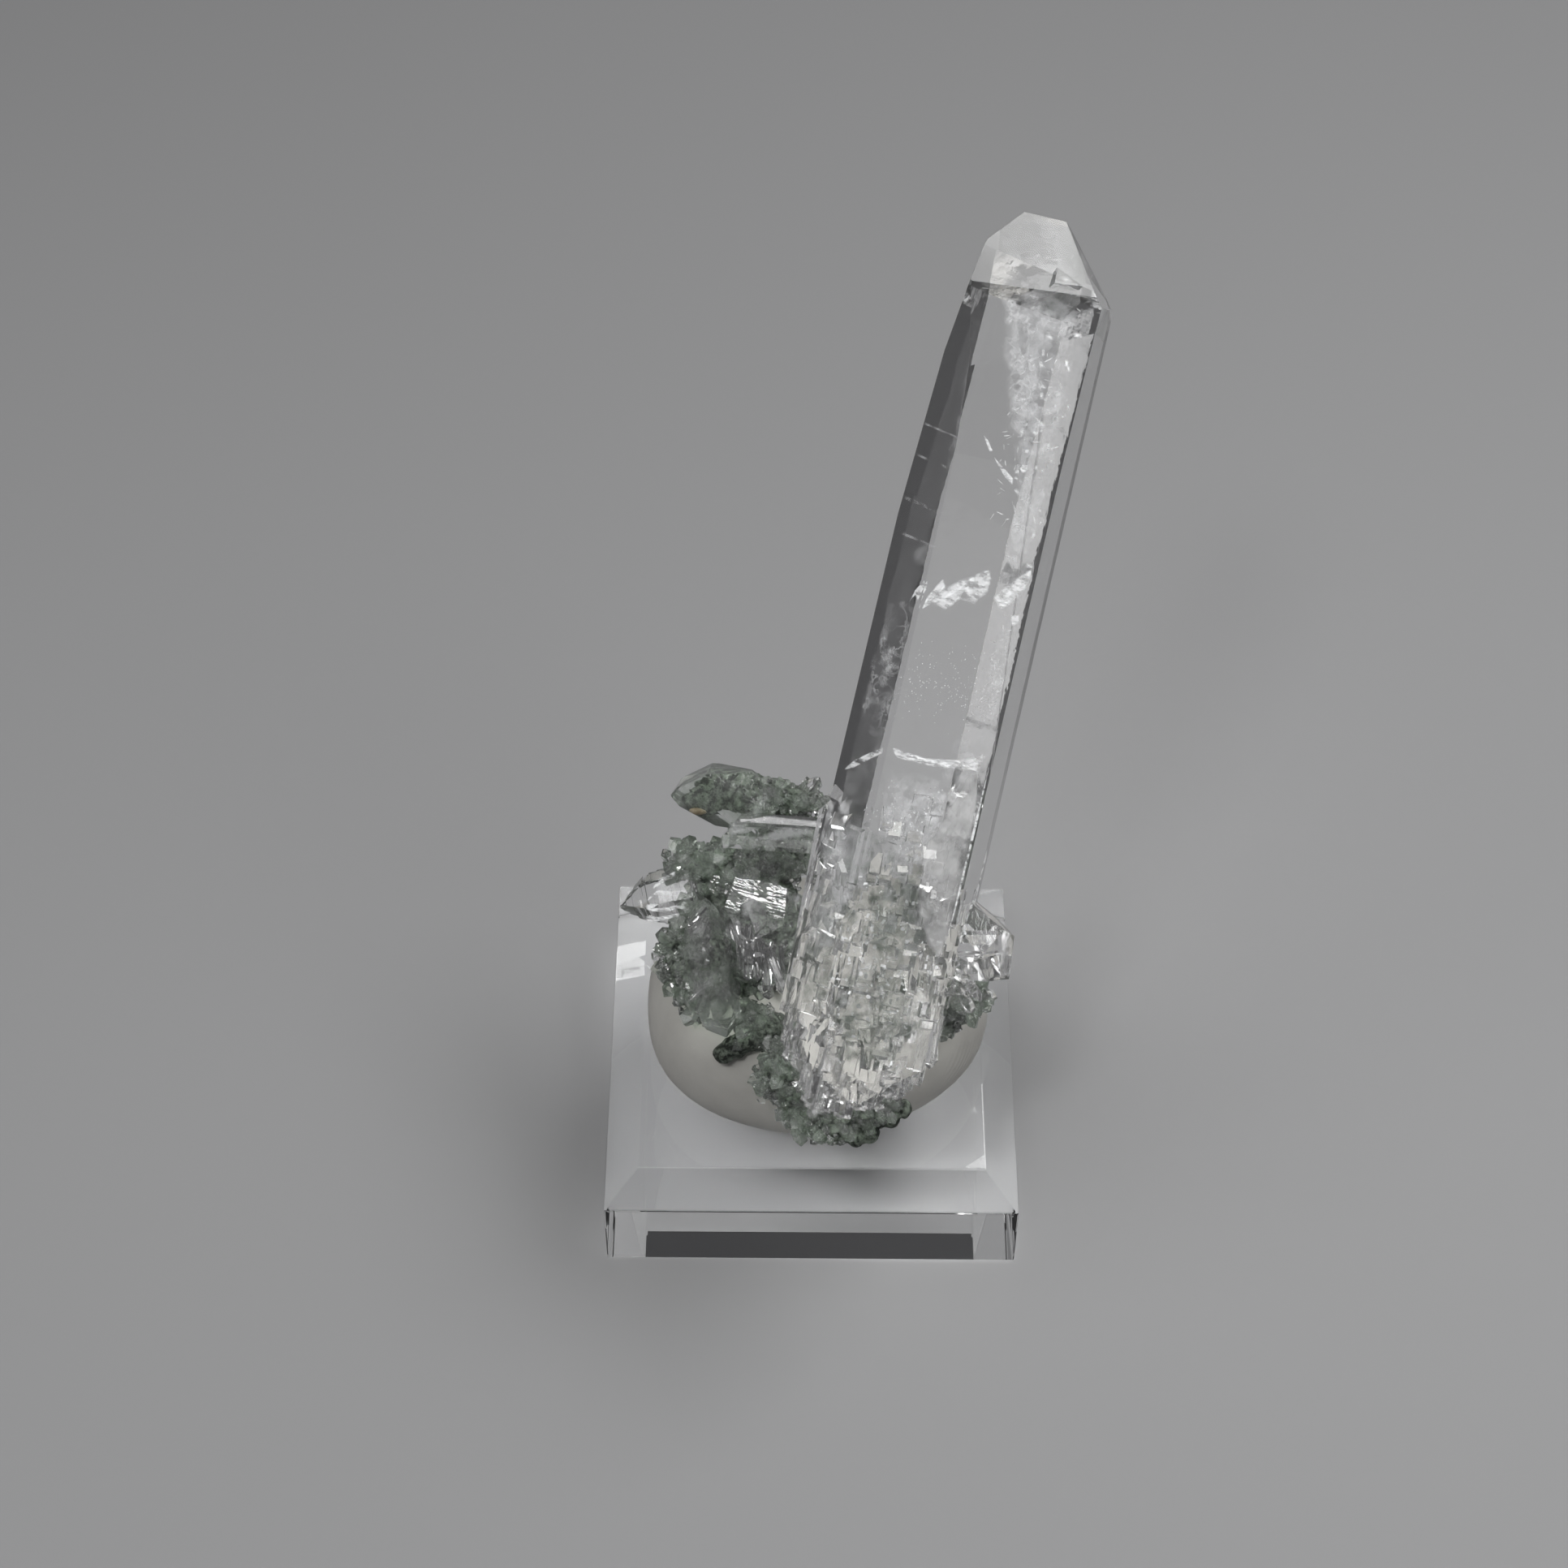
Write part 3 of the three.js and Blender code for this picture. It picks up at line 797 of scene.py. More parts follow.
@dataclass
class MainPoint:
    """The long clear point, its etched root and the side crystals that grew with it."""

    prism: Sequence[Facet] = (
        Facet(-40, 0.6, 7.74, 40),
        Facet(20, 1.0, 6.5, 40),
        Facet(80, 0.4, 6.43, 40),
        Facet(140, 0.5, 7.02, 40),
        Facet(207, 0.6, 6.85, 40),
        Facet(263.8, 0.4, 5.524, 40),
    )
    shoulders: Sequence[Facet] = (
        Facet(20, 5.2, 6.39, 54.5),
        Facet(263.8, 3.2, 5.487, 50),
        Facet(266, 7.6, 5.06, 62.9),
        Facet(206, 4, 6.73, 52),
    )
    tip: Sequence[Facet] = (
        Facet(20, RHOMB_SLOPE, 0.6, LENGTH),
        Facet(80, RHOMB_SLOPE, 1.58, LENGTH),
        Facet(140, RHOMB_SLOPE, 1.5, LENGTH),
        Facet(200, RHOMB_SLOPE, -0.6, LENGTH),
        Facet(266, 37.5, 1.66, LENGTH),
    )
    root: Sequence[Facet] = (
        Facet(264, -10, 6.3, 21),
        Facet(272, -36, 4.5, 9),
        Facet(292, -60, 2.6, 4.6),
        Facet(88, -22, 7.4, 11),
        Facet(78, -50, 5.3, 6.4),
        Facet(10, -28, 7.3, 6),
        Facet(205, -20, 7.2, 11),
        Facet(150, -22, 7.0, 11),
        Facet.base(1.9),
    )
    steep_front: Sequence[Facet] = (Facet(15.5, 19, 2.42, LENGTH), Facet(16, 13.5, 5.95, 63.2))
    low_plate: Sequence[Facet] = (
        Facet(18, 30, 3.98, 71.2),
        Facet(22.1, 28.4, 1.92, 73.9),
        Facet(-96.2, 36.5, -0.63, 71.2),
        Facet(16, -48, 4.56, 70.3),
    )
    rings: Sequence[Ring] = (Ring(14, 27.4, 0.22),)
    rim_azimuths: Sequence[Number] = (-40, 20, 80, 140, 200, 260)
    rim_reach: Number = 6.9
    foot_line: Sequence[Span] = (
        (-5.4, 9.5), (-4.4, 6.6), (-3, 4), (-1.8, 2.3), (0.6, 2.6), (2.8, 4.2), (5, 5.7), (6.2, 9)
    )
    stub_rim: Sequence[Span] = (
        (-12.75, 19.3), (-9.5, 19.5), (-6.7, 19), (-5.9, 14.8),
        (-7.6, 13.5), (-10.7, 13.6), (-12.4, 14.5), (-13, 16.2),
    )
    stub_core: Sequence[Span] = (
        (-11.7, 17), (-10.9, 17.8), (-9.8, 17.7), (-9.2, 16.1), (-10.1, 14.5), (-11.1, 14.7)
    )
    columns: int = 105
    column_azimuths: Span = (-95, 72)
    column_radii: Span = (0.3, 0.95)
    bold_share: Number = 0.4
    pits: int = 190
    pit_heights: Span = (4.5, 21.5)
    plate_count: int = 90
    plate_heights: Span = (17.5, 29)
    spans: Sequence[Span] = ((-1.3, 2.9), (-5, 3.5), (-3.5, 4.1))
    blades: int = 56
    seed: int = 5

    def shaft(self, front: Sequence[Facet], name: str) -> Thing:
        """The point cut to its faces, with one of the two forms of the tip's front."""
        facets = [*self.prism, *front, *self.shoulders, *self.tip, *self.root]
        return Workbench.crystal(name, facets, LENGTH + 5)

    def under(self, face: int, across: Number, up: Number, depth: Number) -> Place:
        """A place a little under one of the prism's faces, by its distance across it and its height."""
        faces = [self.prism[face], *([self.shoulders[0], self.steep_front[1]] if face == FRONT else [])]
        reach = min(f.reach - (up - f.height) * math.tan(math.radians(f.slope)) for f in faces) - depth
        a = math.radians(faces[0].azimuth)
        return (
            reach * math.sin(a) + across * math.cos(a),
            -reach * math.cos(a) + across * math.sin(a),
            up,
        )

    def ledge(self, ring: Ring) -> Thing:
        """One ring of later growth."""
        rim = [Facet(azimuth, RHOMB_SLOPE, self.rim_reach, ring.rim) for azimuth in self.rim_azimuths]
        steps = (ring.out, -0.3, -0.3, -0.3, -0.3, -0.3)
        facets = [*(side.out(step) for side, step in zip(self.prism, steps)), *rim, Facet.base(ring.foot)]
        return Workbench.crystal("ledge", facets, LENGTH)

    def foot_at(self, across: Number) -> Number:
        """How far up the root ends, at a place across it."""
        for (left, low), (right, high) in zip(self.foot_line, self.foot_line[1:]):
            if across <= right:
                return low + (high - low) * max(across - left, 0) / (right - left)
        return self.foot_line[-1][1]

    def holds(self, place: Vector, margin: Number) -> bool:
        """Whether a place is inside the point's faces by a margin."""
        faces = [*self.prism, *self.shoulders, *self.steep_front]
        return all(face.normal().dot(place - face.point()) < -margin for face in faces)

    def side_at(self, azimuth: Number) -> Number:
        """How far out the root's skin lies, towards an azimuth."""
        gaps = []
        for side in self.prism:
            facing = math.cos(math.radians(azimuth - side.azimuth))
            if facing > 0.2:
                gaps.append(side.reach / facing)
        return min(gaps)

    def root_columns(self, draw: random.Random) -> list[Thing]:
        """The parallel columns that the root is etched into, each a little out of line."""
        made = []
        for _ in range(self.columns):
            azimuth, radius = draw.uniform(*self.column_azimuths), draw.uniform(*self.column_radii)
            bold = -30 < azimuth < 70 and draw.random() < self.bold_share
            sunk = draw.uniform(0.35, 0.7) if bold else draw.uniform(0.65, 1.0)
            reach = self.side_at(azimuth) - radius * sunk
            a = math.radians(azimuth)
            x, y = reach * math.sin(a), -reach * math.cos(a)
            foot = self.foot_at(x) + draw.uniform(0, 1.6) + max(y, 0) * 1.2
            rim = foot + draw.uniform(2, 9) + (draw.uniform(4, 12) if draw.random() < 0.35 else 0)
            lean = (draw.uniform(-0.04, 0.04), draw.uniform(-0.04, 0.04), 1)
            shape = plain_facets(radius, rim - foot, 0.2)
            pose = aimed((x, y, foot), lean, FRONT_FACE + draw.uniform(-4, 4))
            made.append(Workbench.crystal("column", shape, 20, pose))
        return made

    def foot_blades(self, draw: random.Random) -> list[Thing]:
        """The splintery crystals that the root ends in, pointing down."""
        made = []
        for i in range(self.blades):
            x = -5.2 + 11.4 * (i + 0.5) / self.blades
            y = draw.uniform(-5.6, 2.5)
            radius = draw.uniform(0.25, 0.8)
            foot = self.foot_at(x) + max(y + 2, 0) * 0.5
            length = draw.uniform(2.2, 4.2)
            down = (draw.uniform(-0.25, 0.25) + x * 0.03, draw.uniform(-0.25, 0.1), -1)
            pose = aimed((x, y, foot + length * 0.8), down, draw.uniform(0, 60))
            made.append(Workbench.crystal("foot_blade", plain_facets(radius, length, 0.25), 20, pose))
        return made

    def etch_pits(self, draw: random.Random) -> list[Thing]:
        """The small upright cells etched into the root's faces, their floors a little tilted."""
        made = []
        for _ in range(self.pits):
            face = draw.choice((LEFT_FRONT,) * 2 + (FRONT,) * 4 + (RIGHT_FRONT,))
            side = self.prism[face]
            wide, high = draw.uniform(0.2, 0.8), draw.uniform(0.35, 1.5)
            deep = draw.uniform(0.05, 0.3)
            across, up = draw.uniform(*self.spans[face]), draw.uniform(*self.pit_heights)
            cell = Workbench.block("pit", (-wide, -deep, -high), (wide, 3, high))
            turn = Matrix.Rotation(math.radians(side.azimuth + 180), 4, "Z")
            tilt = askew(draw, (-0.4, 0.4), (-0.35, 0.65))
            cell.data.transform(turn @ Matrix.Translation((-across, side.reach, up)) @ tilt)
            made.append(cell)
        return made

    def plates(self, draw: random.Random) -> list[Thing]:
        """The larger plates of growth that lie askew on the root's upper part."""
        made = []
        for _ in range(self.plate_count):
            face = draw.choice((LEFT_FRONT,) + (FRONT,) * 3)
            side = self.prism[face]
            low, high = self.spans[face]
            across, up = draw.uniform(low + 0.4, min(high, 1.8) - 0.4), draw.uniform(*self.plate_heights)
            plate = Workbench.block("growth_plate", (-1.6, -1.6, -1.6), (1.6, 1.6, 1.6))
            facets = []
            for a in (0, 180):
                facets.append(Facet(a + draw.uniform(-14, 14), draw.uniform(-8, 8), draw.uniform(0.3, 0.8)))
            facets += [Facet(a, 0, draw.uniform(0.35, 0.8)) for a in (90, 270)]
            facets += [Facet(0, 80, 0, draw.uniform(0.5, 1.3)), Facet(0, -80, 0, -draw.uniform(0.5, 1.3))]
            Workbench.cut(plate, facets)
            turn = Matrix.Rotation(math.radians(side.azimuth), 4, "Z")
            tilt = askew(draw, (-0.3, 0.3), (-0.6, 0.15))
            seat = Matrix.Translation((across, draw.uniform(0.0, 0.35) - side.reach, up))
            plate.data.transform(turn @ seat @ tilt)
            made.append(plate)
        return made

    def blade(self) -> Thing:
        """The thin clear blade that runs left from the root."""
        facets = (
            Facet(0, 84, 0, 1.05), Facet(0, -86, 0, -1.1), Facet(0, 0, 1.5), Facet(180, 0, 1.6),
            Facet(4, 35, 1.3, 0.6), Facet(90, 0, 3), Facet(270, 0, 8), Facet(266, 40, 7.4, 0.4),
            Facet(310, 0, 7),
        )
        return Workbench.crystal("blade", facets, 12, aimed((-6.4, 0.6, 23.2), (-0.17, -0.1, 1)))

    def stub(self) -> list[Thing]:
        """The short six-sided crystal left of the root, its end bevelled, with a raised core."""
        away = Vector((0.95, 6.9, -2.2))
        body = Workbench.prism("stub", [(x, -2.6, z) for x, z in self.stub_rim], away)
        Workbench.cut(body, (
            Facet.through((-0.12, -0.96, 0.25), (-9.7, -1.1, 16.5)),
            Facet.through((0.4, -0.88, 0.3), (-8.5, -1.15, 18.0)),
            Facet.through((-0.3, -0.86, 0.42), (-11.2, -1.15, 18.0)),
            Facet.through((0.35, -0.85, -0.3), (-7.4, -1.1, 15)),
            Facet.through((-0.5, -0.8, -0.15), (-12.1, -1.1, 15.4)),
        ))
        core = Workbench.prism("stub_core", [(x, -2.8, z) for x, z in self.stub_core], away * 0.8)
        Workbench.cut(core, (
            Facet.through((0.0, -0.92, 0.38), (-10.4, -1.6, 16.3)),
            Facet.through((-0.4, -0.9, 0.1), (-11.2, -1.5, 15.4)),
        ))
        return [body, core]

    def right_crystal(self) -> Thing:
        """The small stout crystal on the right, a broken cluster at its foot."""
        sides = [Facet(a, 0, reach) for a, reach in zip(SIDES, (2.6, 2.5, 2.6, 2.4, 2.7, 2.5))]
        tip = [Facet(a, RHOMB_SLOPE, reach, 6) for a, reach in ((60, 1.4), (180, 0.6), (300, 1.3))]
        pose = aimed((4.7, 1.8, 18.8), (0.86, -0.1, -0.42), 20)
        return Workbench.crystal("right_crystal", [*sides, *tip, Facet.base(-0.5)], 12, pose)

    def spur(self) -> Thing:
        """The small bright facet at the middle of the tip's front."""
        outline = ((1.7, -3.9, 71.9), (4.0, -4.6, 70.9), (1.8, -4.7, 70.7))
        body = Workbench.prism("tip_spur", outline, Vector((0, 2, 0)))
        return Workbench.cut(body, [Facet.through(GLINT, (2.2, -4.12, 71.1))])

    def right_cluster(self, draw: random.Random) -> list[Thing]:
        """The broken little crystals at the right crystal's foot."""
        made = []
        for _ in range(14):
            place = (draw.uniform(5.9, 8.6), draw.uniform(-1.6, 1.4), draw.uniform(13.0, 16.6))
            way = (draw.uniform(0.1, 0.8), draw.uniform(-1, -0.3), draw.uniform(-0.7, 0.5))
            shape = plain_facets(draw.uniform(0.35, 0.75), draw.uniform(1.0, 1.7), 0.2, -1.2)
            made.append(Workbench.crystal("right_cluster", shape, 12, aimed(place, way, draw.uniform(0, 60))))
        return made

    def build(self, material: Material) -> Thing:
        """Makes all the clear crystals that grew together as one solid."""
        draw = random.Random(self.seed)
        body = self.shaft(self.steep_front, "main_point")
        grown = [self.shaft(self.low_plate, "plate"), *map(self.ledge, self.rings)]
        grown += [
            *self.root_columns(draw), *self.foot_blades(draw), self.blade(), *self.stub(),
            self.right_crystal(), self.spur()
        ]
        grown += [*self.right_cluster(draw), *self.plates(draw)]
        Workbench.combine(body, grown, "UNION")
        Workbench.combine(body, self.etch_pits(draw), "DIFFERENCE")
        return settle(body, Node.QUARTZ, material)


@dataclass
class LeftPoint:
    """The clear point that juts out at the far left, stepped with growth lines."""

    sides: Sequence[Number] = (2.2, 2.0, 2.3, 2.0, 2.1, 2.0)
    slopes: Sequence[Span] = ((24, 0.6), (33, 0.4), (38.2, 0.3), (28, 0.5), (22, 0.7), (30, 0.4))
    length: Number = 6.3
    steps: int = 9
    narrowing: Number = 0.05
    chance: Number = 0.03
    striae: Sequence[Sequence[Span]] = (
        ((-19.2, 14.6), (-18.4, 15.5), (-17.2, 15.7), (-17.2, 15.2), (-18.5, 15.0), (-19.2, 14.3)),
        ((-19.2, 14.1), (-18, 14.4), (-16.1, 15.1), (-15.8, 14.6), (-17.9, 13.9), (-19.2, 13.7)),
        ((-19.1, 13.1), (-18, 13.4), (-16.3, 14.1), (-16.3, 13.7), (-17.9, 12.9), (-19, 12.6)),
        ((-19, 15.6), (-18.3, 16.7), (-17.4, 17.5), (-17.4, 17.0), (-18.1, 16.2), (-18.9, 15.4)),
    )

    def build(self, material: Material, milk: Material) -> Thing:
        """Makes the point from stacked slices of growth, each a little narrower than the one before."""
        slices = []
        draw = random.Random(8)
        for i in range(self.steps):
            sides = [
                Facet(a, 0, reach * (1 - self.narrowing * (i % 3) - self.chance * draw.random()))
                for a, reach in zip(SIDES, self.sides)
            ]
            tip = [
                Facet(a, slope, reach - 0.12 * (i % 3), self.length)
                for a, (slope, reach) in zip(SIDES, self.slopes)
            ]
            high = self.length * (i + 1.25) / self.steps
            low = self.length * i / self.steps
            facets = [*sides, *tip, Facet.top(high), Facet.base(low)]
            slices.append(Workbench.crystal("left_point", facets, 12))
        body = Workbench.combine(slices[0], slices[1:], "UNION")
        body.name = body.data.name = "left_clear_point"
        body.data.transform(aimed((-15.6, 3.4, 16.0), (-0.9, 0.02, -0.44), 20))
        for number, corners in enumerate(self.striae):
            film = Workbench.traced(f"stria_{number}", [(x, 2.3, z) for x, z in corners], 0.25, 4, number)
            settle(film, Node.POINT, milk)
        return settle(body, Node.POINT, material)


@dataclass(frozen=True)
class Lump:
    """A knob of the druse and the crystals that stand on it."""

    centre: Place
    radii: Place
    tilt: Number
    count: int
    size: Number
    seed: int
    lean: Place

    def pose(self) -> Matrix:
        """Where the knob sits."""
        return Matrix.Translation(self.centre) @ Matrix.Rotation(math.radians(self.tilt), 4, "Y")


LEFT_LUMPS = (
    Lump((-9, 3.2, 25.4), (2.8, 1.3, 1.1), 4, 6, 0.8, 11, (0, -0.5, 0.4)),
    Lump((-9.6, 5.4, 22.6), (2.2, 1.6, 2.8), 0, 4, 0.8, 17, (-0.3, 0.5, 0.4)),
    Lump((-16.2, 4.6, 17.8), (2.2, 1.8, 1.4), -14, 6, 1, 23, (-0.2, -0.4, 0.8)),
    Lump((-12.4, 4.2, 18.8), (3.2, 2.2, 1.7), -10, 8, 1.05, 31, (0, -0.5, 0.8)),
    Lump((-8.6, 4.2, 20.4), (2.4, 1.9, 1.5), -6, 5, 0.9, 47, (0, -0.5, 0.5)),
    Lump((-13.6, 4.9, 15.2), (2.2, 2.2, 2.8), 0, 5, 0.9, 59, (0, -1, 0)),
    Lump((-9.6, 6.2, 14.6), (3.4, 1.5, 4.4), 0, 6, 0.9, 61, (0, -0.6, 0)),
    Lump((-14, 3.6, 10.6), (3.5, 3.2, 4), 8, 11, 1.25, 53, (-0.1, -0.5, 0.2)),
    Lump((-12.8, 4.4, 7.2), (2.2, 2, 2.2), 0, 5, 1.05, 67, (0, -0.4, -0.6)),
    Lump((-8.6, 3.9, 10.6), (2.6, 2, 1.4), 0, 5, 0.9, 71, (-0.2, -0.6, 0.1)),
    Lump((-9.4, 5.2, 8.4), (2.4, 1.6, 2.0), 0, 1, 0.6, 73, (0, -0.6, 0)),
    Lump((-7.8, 2.6, 6.2), (2.3, 1.8, 1.9), 30, 6, 0.9, 83, (-0.3, -0.7, 0)),
    Lump((-5.4, 0.2, 4), (1.5, 1.8, 3), 12, 6, 0.9, 97, (-0.4, -0.7, -0.2)),
    Lump((-3.1, -0.6, 1.2), (2.2, 1.8, 1.7), 35, 6, 0.85, 101, (-0.3, -0.4, -0.7)),
    Lump((0.1, -0.6, 0.2), (2.2, 1.8, 1.3), -20, 5, 0.75, 113, (0, -0.3, -1)),
    Lump((2.9, -0.2, 2.2), (2.2, 1.6, 1.1), -34, 5, 0.75, 127, (0.3, -0.3, -1)),
)
RIGHT_LUMPS = (
    Lump((8.1, 3, 12.6), (1.8, 1.7, 1.7), -30, 6, 0.85, 131, (0.4, -0.5, -0.3)),
    Lump((7, 3.4, 10.6), (1.3, 1.5, 1.5), -20, 5, 0.7, 149, (0.4, -0.5, -0.5)),
)


@dataclass
class Druse:
    """Knobs of felted chlorite, with small glassy crystals standing close together on them."""

    side: str
    node: Node
    lumps: Sequence[Lump]
    crowd: Number = 20.0
    fine: Number = 0.6
    seat: Number = 0.74
    voxel: Number = 0.16
    clear_share: Number = 0.35
    glints: Number = 8.0
    key_share: Number = 0.6
    scatter: Number = 0.16
    plate_sizes: Span = (0.1, 0.36)

    def forms(self) -> list[Thing]:
        """The few shapes that the small crystals are copied from, a unit in radius."""
        made = []
        for i, (length, flat) in enumerate(
            ((2.4, 0.1), (3.2, 0.18), (2.0, 0.25), (2.8, 0.12), (3.8, 0.2), (2.2, 0.1))
        ):
            facets = plain_facets(1, length, flat)
            facets[len(SIDES)] = Facet(0, RHOMB_SLOPE, 0.15 * (i % 4), length)
            if i % 3 == 2:
                facets.append(Facet(30, 75, 0, length * 0.8))
            made.append(Workbench.crystal("form", facets, 6))
        return made

    def core(self) -> Thing:
        """The knobs, fused and felted."""
        knobs = [Workbench.knob("knob", Vector(lump.radii) * 0.86, lump.pose()) for lump in self.lumps]
        body = Workbench.weld(knobs, f"chlorite_{self.side}", self.voxel)
        Workbench.roughen(body, 1.3, 0.7)
        return Workbench.roughen(body, 0.4, 0.35)

    def crystals(self, forms: Sequence[Thing]) -> list[Thing]:
        """Sets the small crystals on their knobs: the green ones, and the clear ones between them."""
        green, clear = [], []
        for lump in self.lumps:
            draw = random.Random(lump.seed)
            count = round(lump.count * self.crowd)
            for i in range(count):
                height = 1 - 2 * (i + 0.5) / count
                around = i * GOLDEN_TURN + draw.random() * 0.5
                flat = math.sqrt(1 - height * height)
                outward = Vector((flat * math.cos(around), flat * math.sin(around), height))
                seat = lump.pose() @ Vector(o * r * self.seat for o, r in zip(outward, lump.radii))
                wander = Vector(draw.random() - 0.5 for _ in range(3)) * 0.9
                radius = lump.size * self.fine * (0.3 + 0.8 * draw.random() ** 2)
                made = clear if draw.random() < self.clear_share else green
                pose = aimed(seat, outward + Vector(lump.lean) * 0.6 + wander, draw.random() * 60)
                form = forms[draw.randrange(len(forms))]
                made.append(Workbench.copy(form, "druse_crystal", pose @ Matrix.Scale(radius, 4)))
        return [
            Workbench.join(green, f"druse_{self.side}"), Workbench.join(clear, f"clear_druse_{self.side}")
        ]

    def plates(self) -> Thing:
        """Small clear plates between the crystals; many face the lamps, and glint."""
        draw = random.Random(len(self.lumps))
        form = Workbench.crystal("plate_form", [*plain_facets(1, 0.5, 0.25, -1.2), Facet.top(0.16)], 3)
        made = []
        for lump in self.lumps:
            for _ in range(round(lump.count * self.glints)):
                outward = Vector((draw.gauss(0, 1), -abs(draw.gauss(0, 1)), draw.gauss(0, 1))).normalized()
                seat = Vector(o * r * draw.uniform(0.9, 1.12) for o, r in zip(outward, lump.radii))
                facing = Vector(GLINT if draw.random() < self.key_share else SPARK)
                facing += Vector(draw.gauss(0, self.scatter) for _ in range(3))
                size = Matrix.Scale(draw.uniform(*self.plate_sizes), 4)
                pose = aimed(lump.pose() @ seat, facing, draw.uniform(0, 60))
                made.append(Workbench.copy(form, "plate", pose @ size))
        Workbench.discard(form)
        return Workbench.join(made, f"glint_plates_{self.side}")

    def build(self, felt: Material, glass: Material, quartz: Material) -> None:
        """Makes the felted core and the crystals on it."""
        settle(self.core(), self.node, felt)
        settle(self.plates(), self.node, quartz)
        forms = self.forms()
        for crystals, material in zip(self.crystals(forms), (glass, quartz)):
            settle(crystals, self.node, material)
        Workbench.discard(*forms)


@dataclass
class LargeCrystals:
    """The larger glassy crystals that stand out of the left druse."""

    rows: Sequence[tuple[Place, Place, int, Number, Number]] = (
        ((-11.4, 1.2, 13.9), (-7.6, 1.0, 12.8), 15, 0.5, 4.2),
        ((-14.9, 1.0, 14.4), (-12.4, 0.4, 8.2), 16, -0.3, 1.9),
    )
    # Pale films just under faces of the short crystal and the blade, each by depth and corners: painted
    # reflections
    pale: Sequence[tuple[Number, Sequence[Span]]] = (
        (-0.75, ((-12.5, 19.1), (-10.4, 19.2), (-10.9, 18.2), (-12.2, 17.5))),
        (-0.75, ((-9.9, 19.2), (-7.3, 18.8), (-6.8, 18.4), (-7, 17.2), (-8.5, 18.2))),
        (-0.75, ((-11.5, 17.4), (-10.2, 17.7), (-9.5, 16.6), (-10.1, 15), (-10.9, 15.1), (-11.4, 16.3))),
        (-0.5, ((-14.2, 22.3), (-12.9, 23.7), (-11.9, 22.5), (-13.6, 21.7))),
        (-0.4, (
            (-13.4, 21.4), (-11.9, 22), (-9.5, 23.6), (-7, 24.2), (-7, 23.4), (-9.6, 22.3), (-11.6, 21.4)
        )),
    )
    edge: Number = 0.18
    sharp: Number = 0.3

    def dome(self) -> Thing:
        """The stout rounded crystal, upright at the middle of the druse."""
        facets = [*plain_facets(1.75, 8.4, 0.12), Facet.through(GLINT, (0.2, -1.35, 3.2))]
        facets += [Facet(40, 16, 1.66, 3.5), Facet(-30, 20, 1.6, 4.4)]
        body = Workbench.crystal("dome_crystal", facets, 12, aimed((-13, 1.2, 8.6), (-0.12, -0.1, 1), 25))
        return Workbench.bevel(body, self.edge, 2, self.sharp)

    def low(self) -> Thing:
        """The streaked crystal below it, pointing down to the right."""
        body = Workbench.crystal(
            "low_crystal", plain_facets(1.5, 6), 12, aimed((-12.9, 1.2, 10.4), (0.5, -0.15, -1), 10)
        )
        return Workbench.bevel(body, self.edge / 2, 1, self.sharp)

    def ring(self) -> Thing:
        """The small crystal that looks at the viewer, its end hollowed in a ring."""
        body = Workbench.crystal("ring_crystal", [*plain_facets(0.8, 5, 0.1), Facet.top(2.4)], 8)
        Workbench.terrace(body, Vector((0, 0, 1)), ((0.22, -0.45), (0.2, 0.3)))
        body.data.transform(aimed((-13.5, 4.6, 16.4), (-0.1, -1, 0.25), 12))
        return body

    def fan(self) -> Thing:
        """The thin clear shards that fan out under the short crystal and over the stout one."""
        draw = random.Random(77)
        made = []
        for start, end, count, swing, length in self.rows:
            for i in range(count):
                foot = Vector(start).lerp(Vector(end), (i + 0.5) / count)
                foot += Vector((0, draw.uniform(-0.9, 0.5), draw.uniform(-0.5, 0.5)))
                way = (swing + draw.uniform(-0.35, 0.35), draw.uniform(-0.55, -0.15), -1)
                shape = plain_facets(draw.uniform(0.2, 0.5), draw.uniform(length * 0.5, length), 0.3, -1)
                made.append(Workbench.crystal("shard", shape, 12, aimed(foot, way, draw.uniform(0, 60))))
        return Workbench.join(made, "clear_shards")

    def build(
        self, felt: Material, glass: Material, quartz: Material, milk: Material
    ) -> None:
        """Makes the crystals, the pale films that paint reflections on the faces of two crystals, and the
        moss in the stout one.
        """
        for thing, material in (
            (self.dome(), quartz), (self.low(), glass), (self.ring(), quartz), (self.fan(), quartz)
        ):
            settle(thing, Node.LEFT, material)
        # The pale films are painted reflections on the faces.
        for number, (depth, corners) in enumerate(self.pale):
            film = Workbench.traced(
                f"pale_face_{number}", [(x, depth, z) for x, z in corners], 0.2, 3, number
            )
            settle(film, Node.LEFT, milk)
        moss = Workbench.knob("dome_moss", (1.3, 0.9, 2.0), Matrix.Translation((-13.2, 1.3, 10.9)))
        settle(Workbench.roughen(moss, 0.8, 0.8), Node.LEFT, felt)


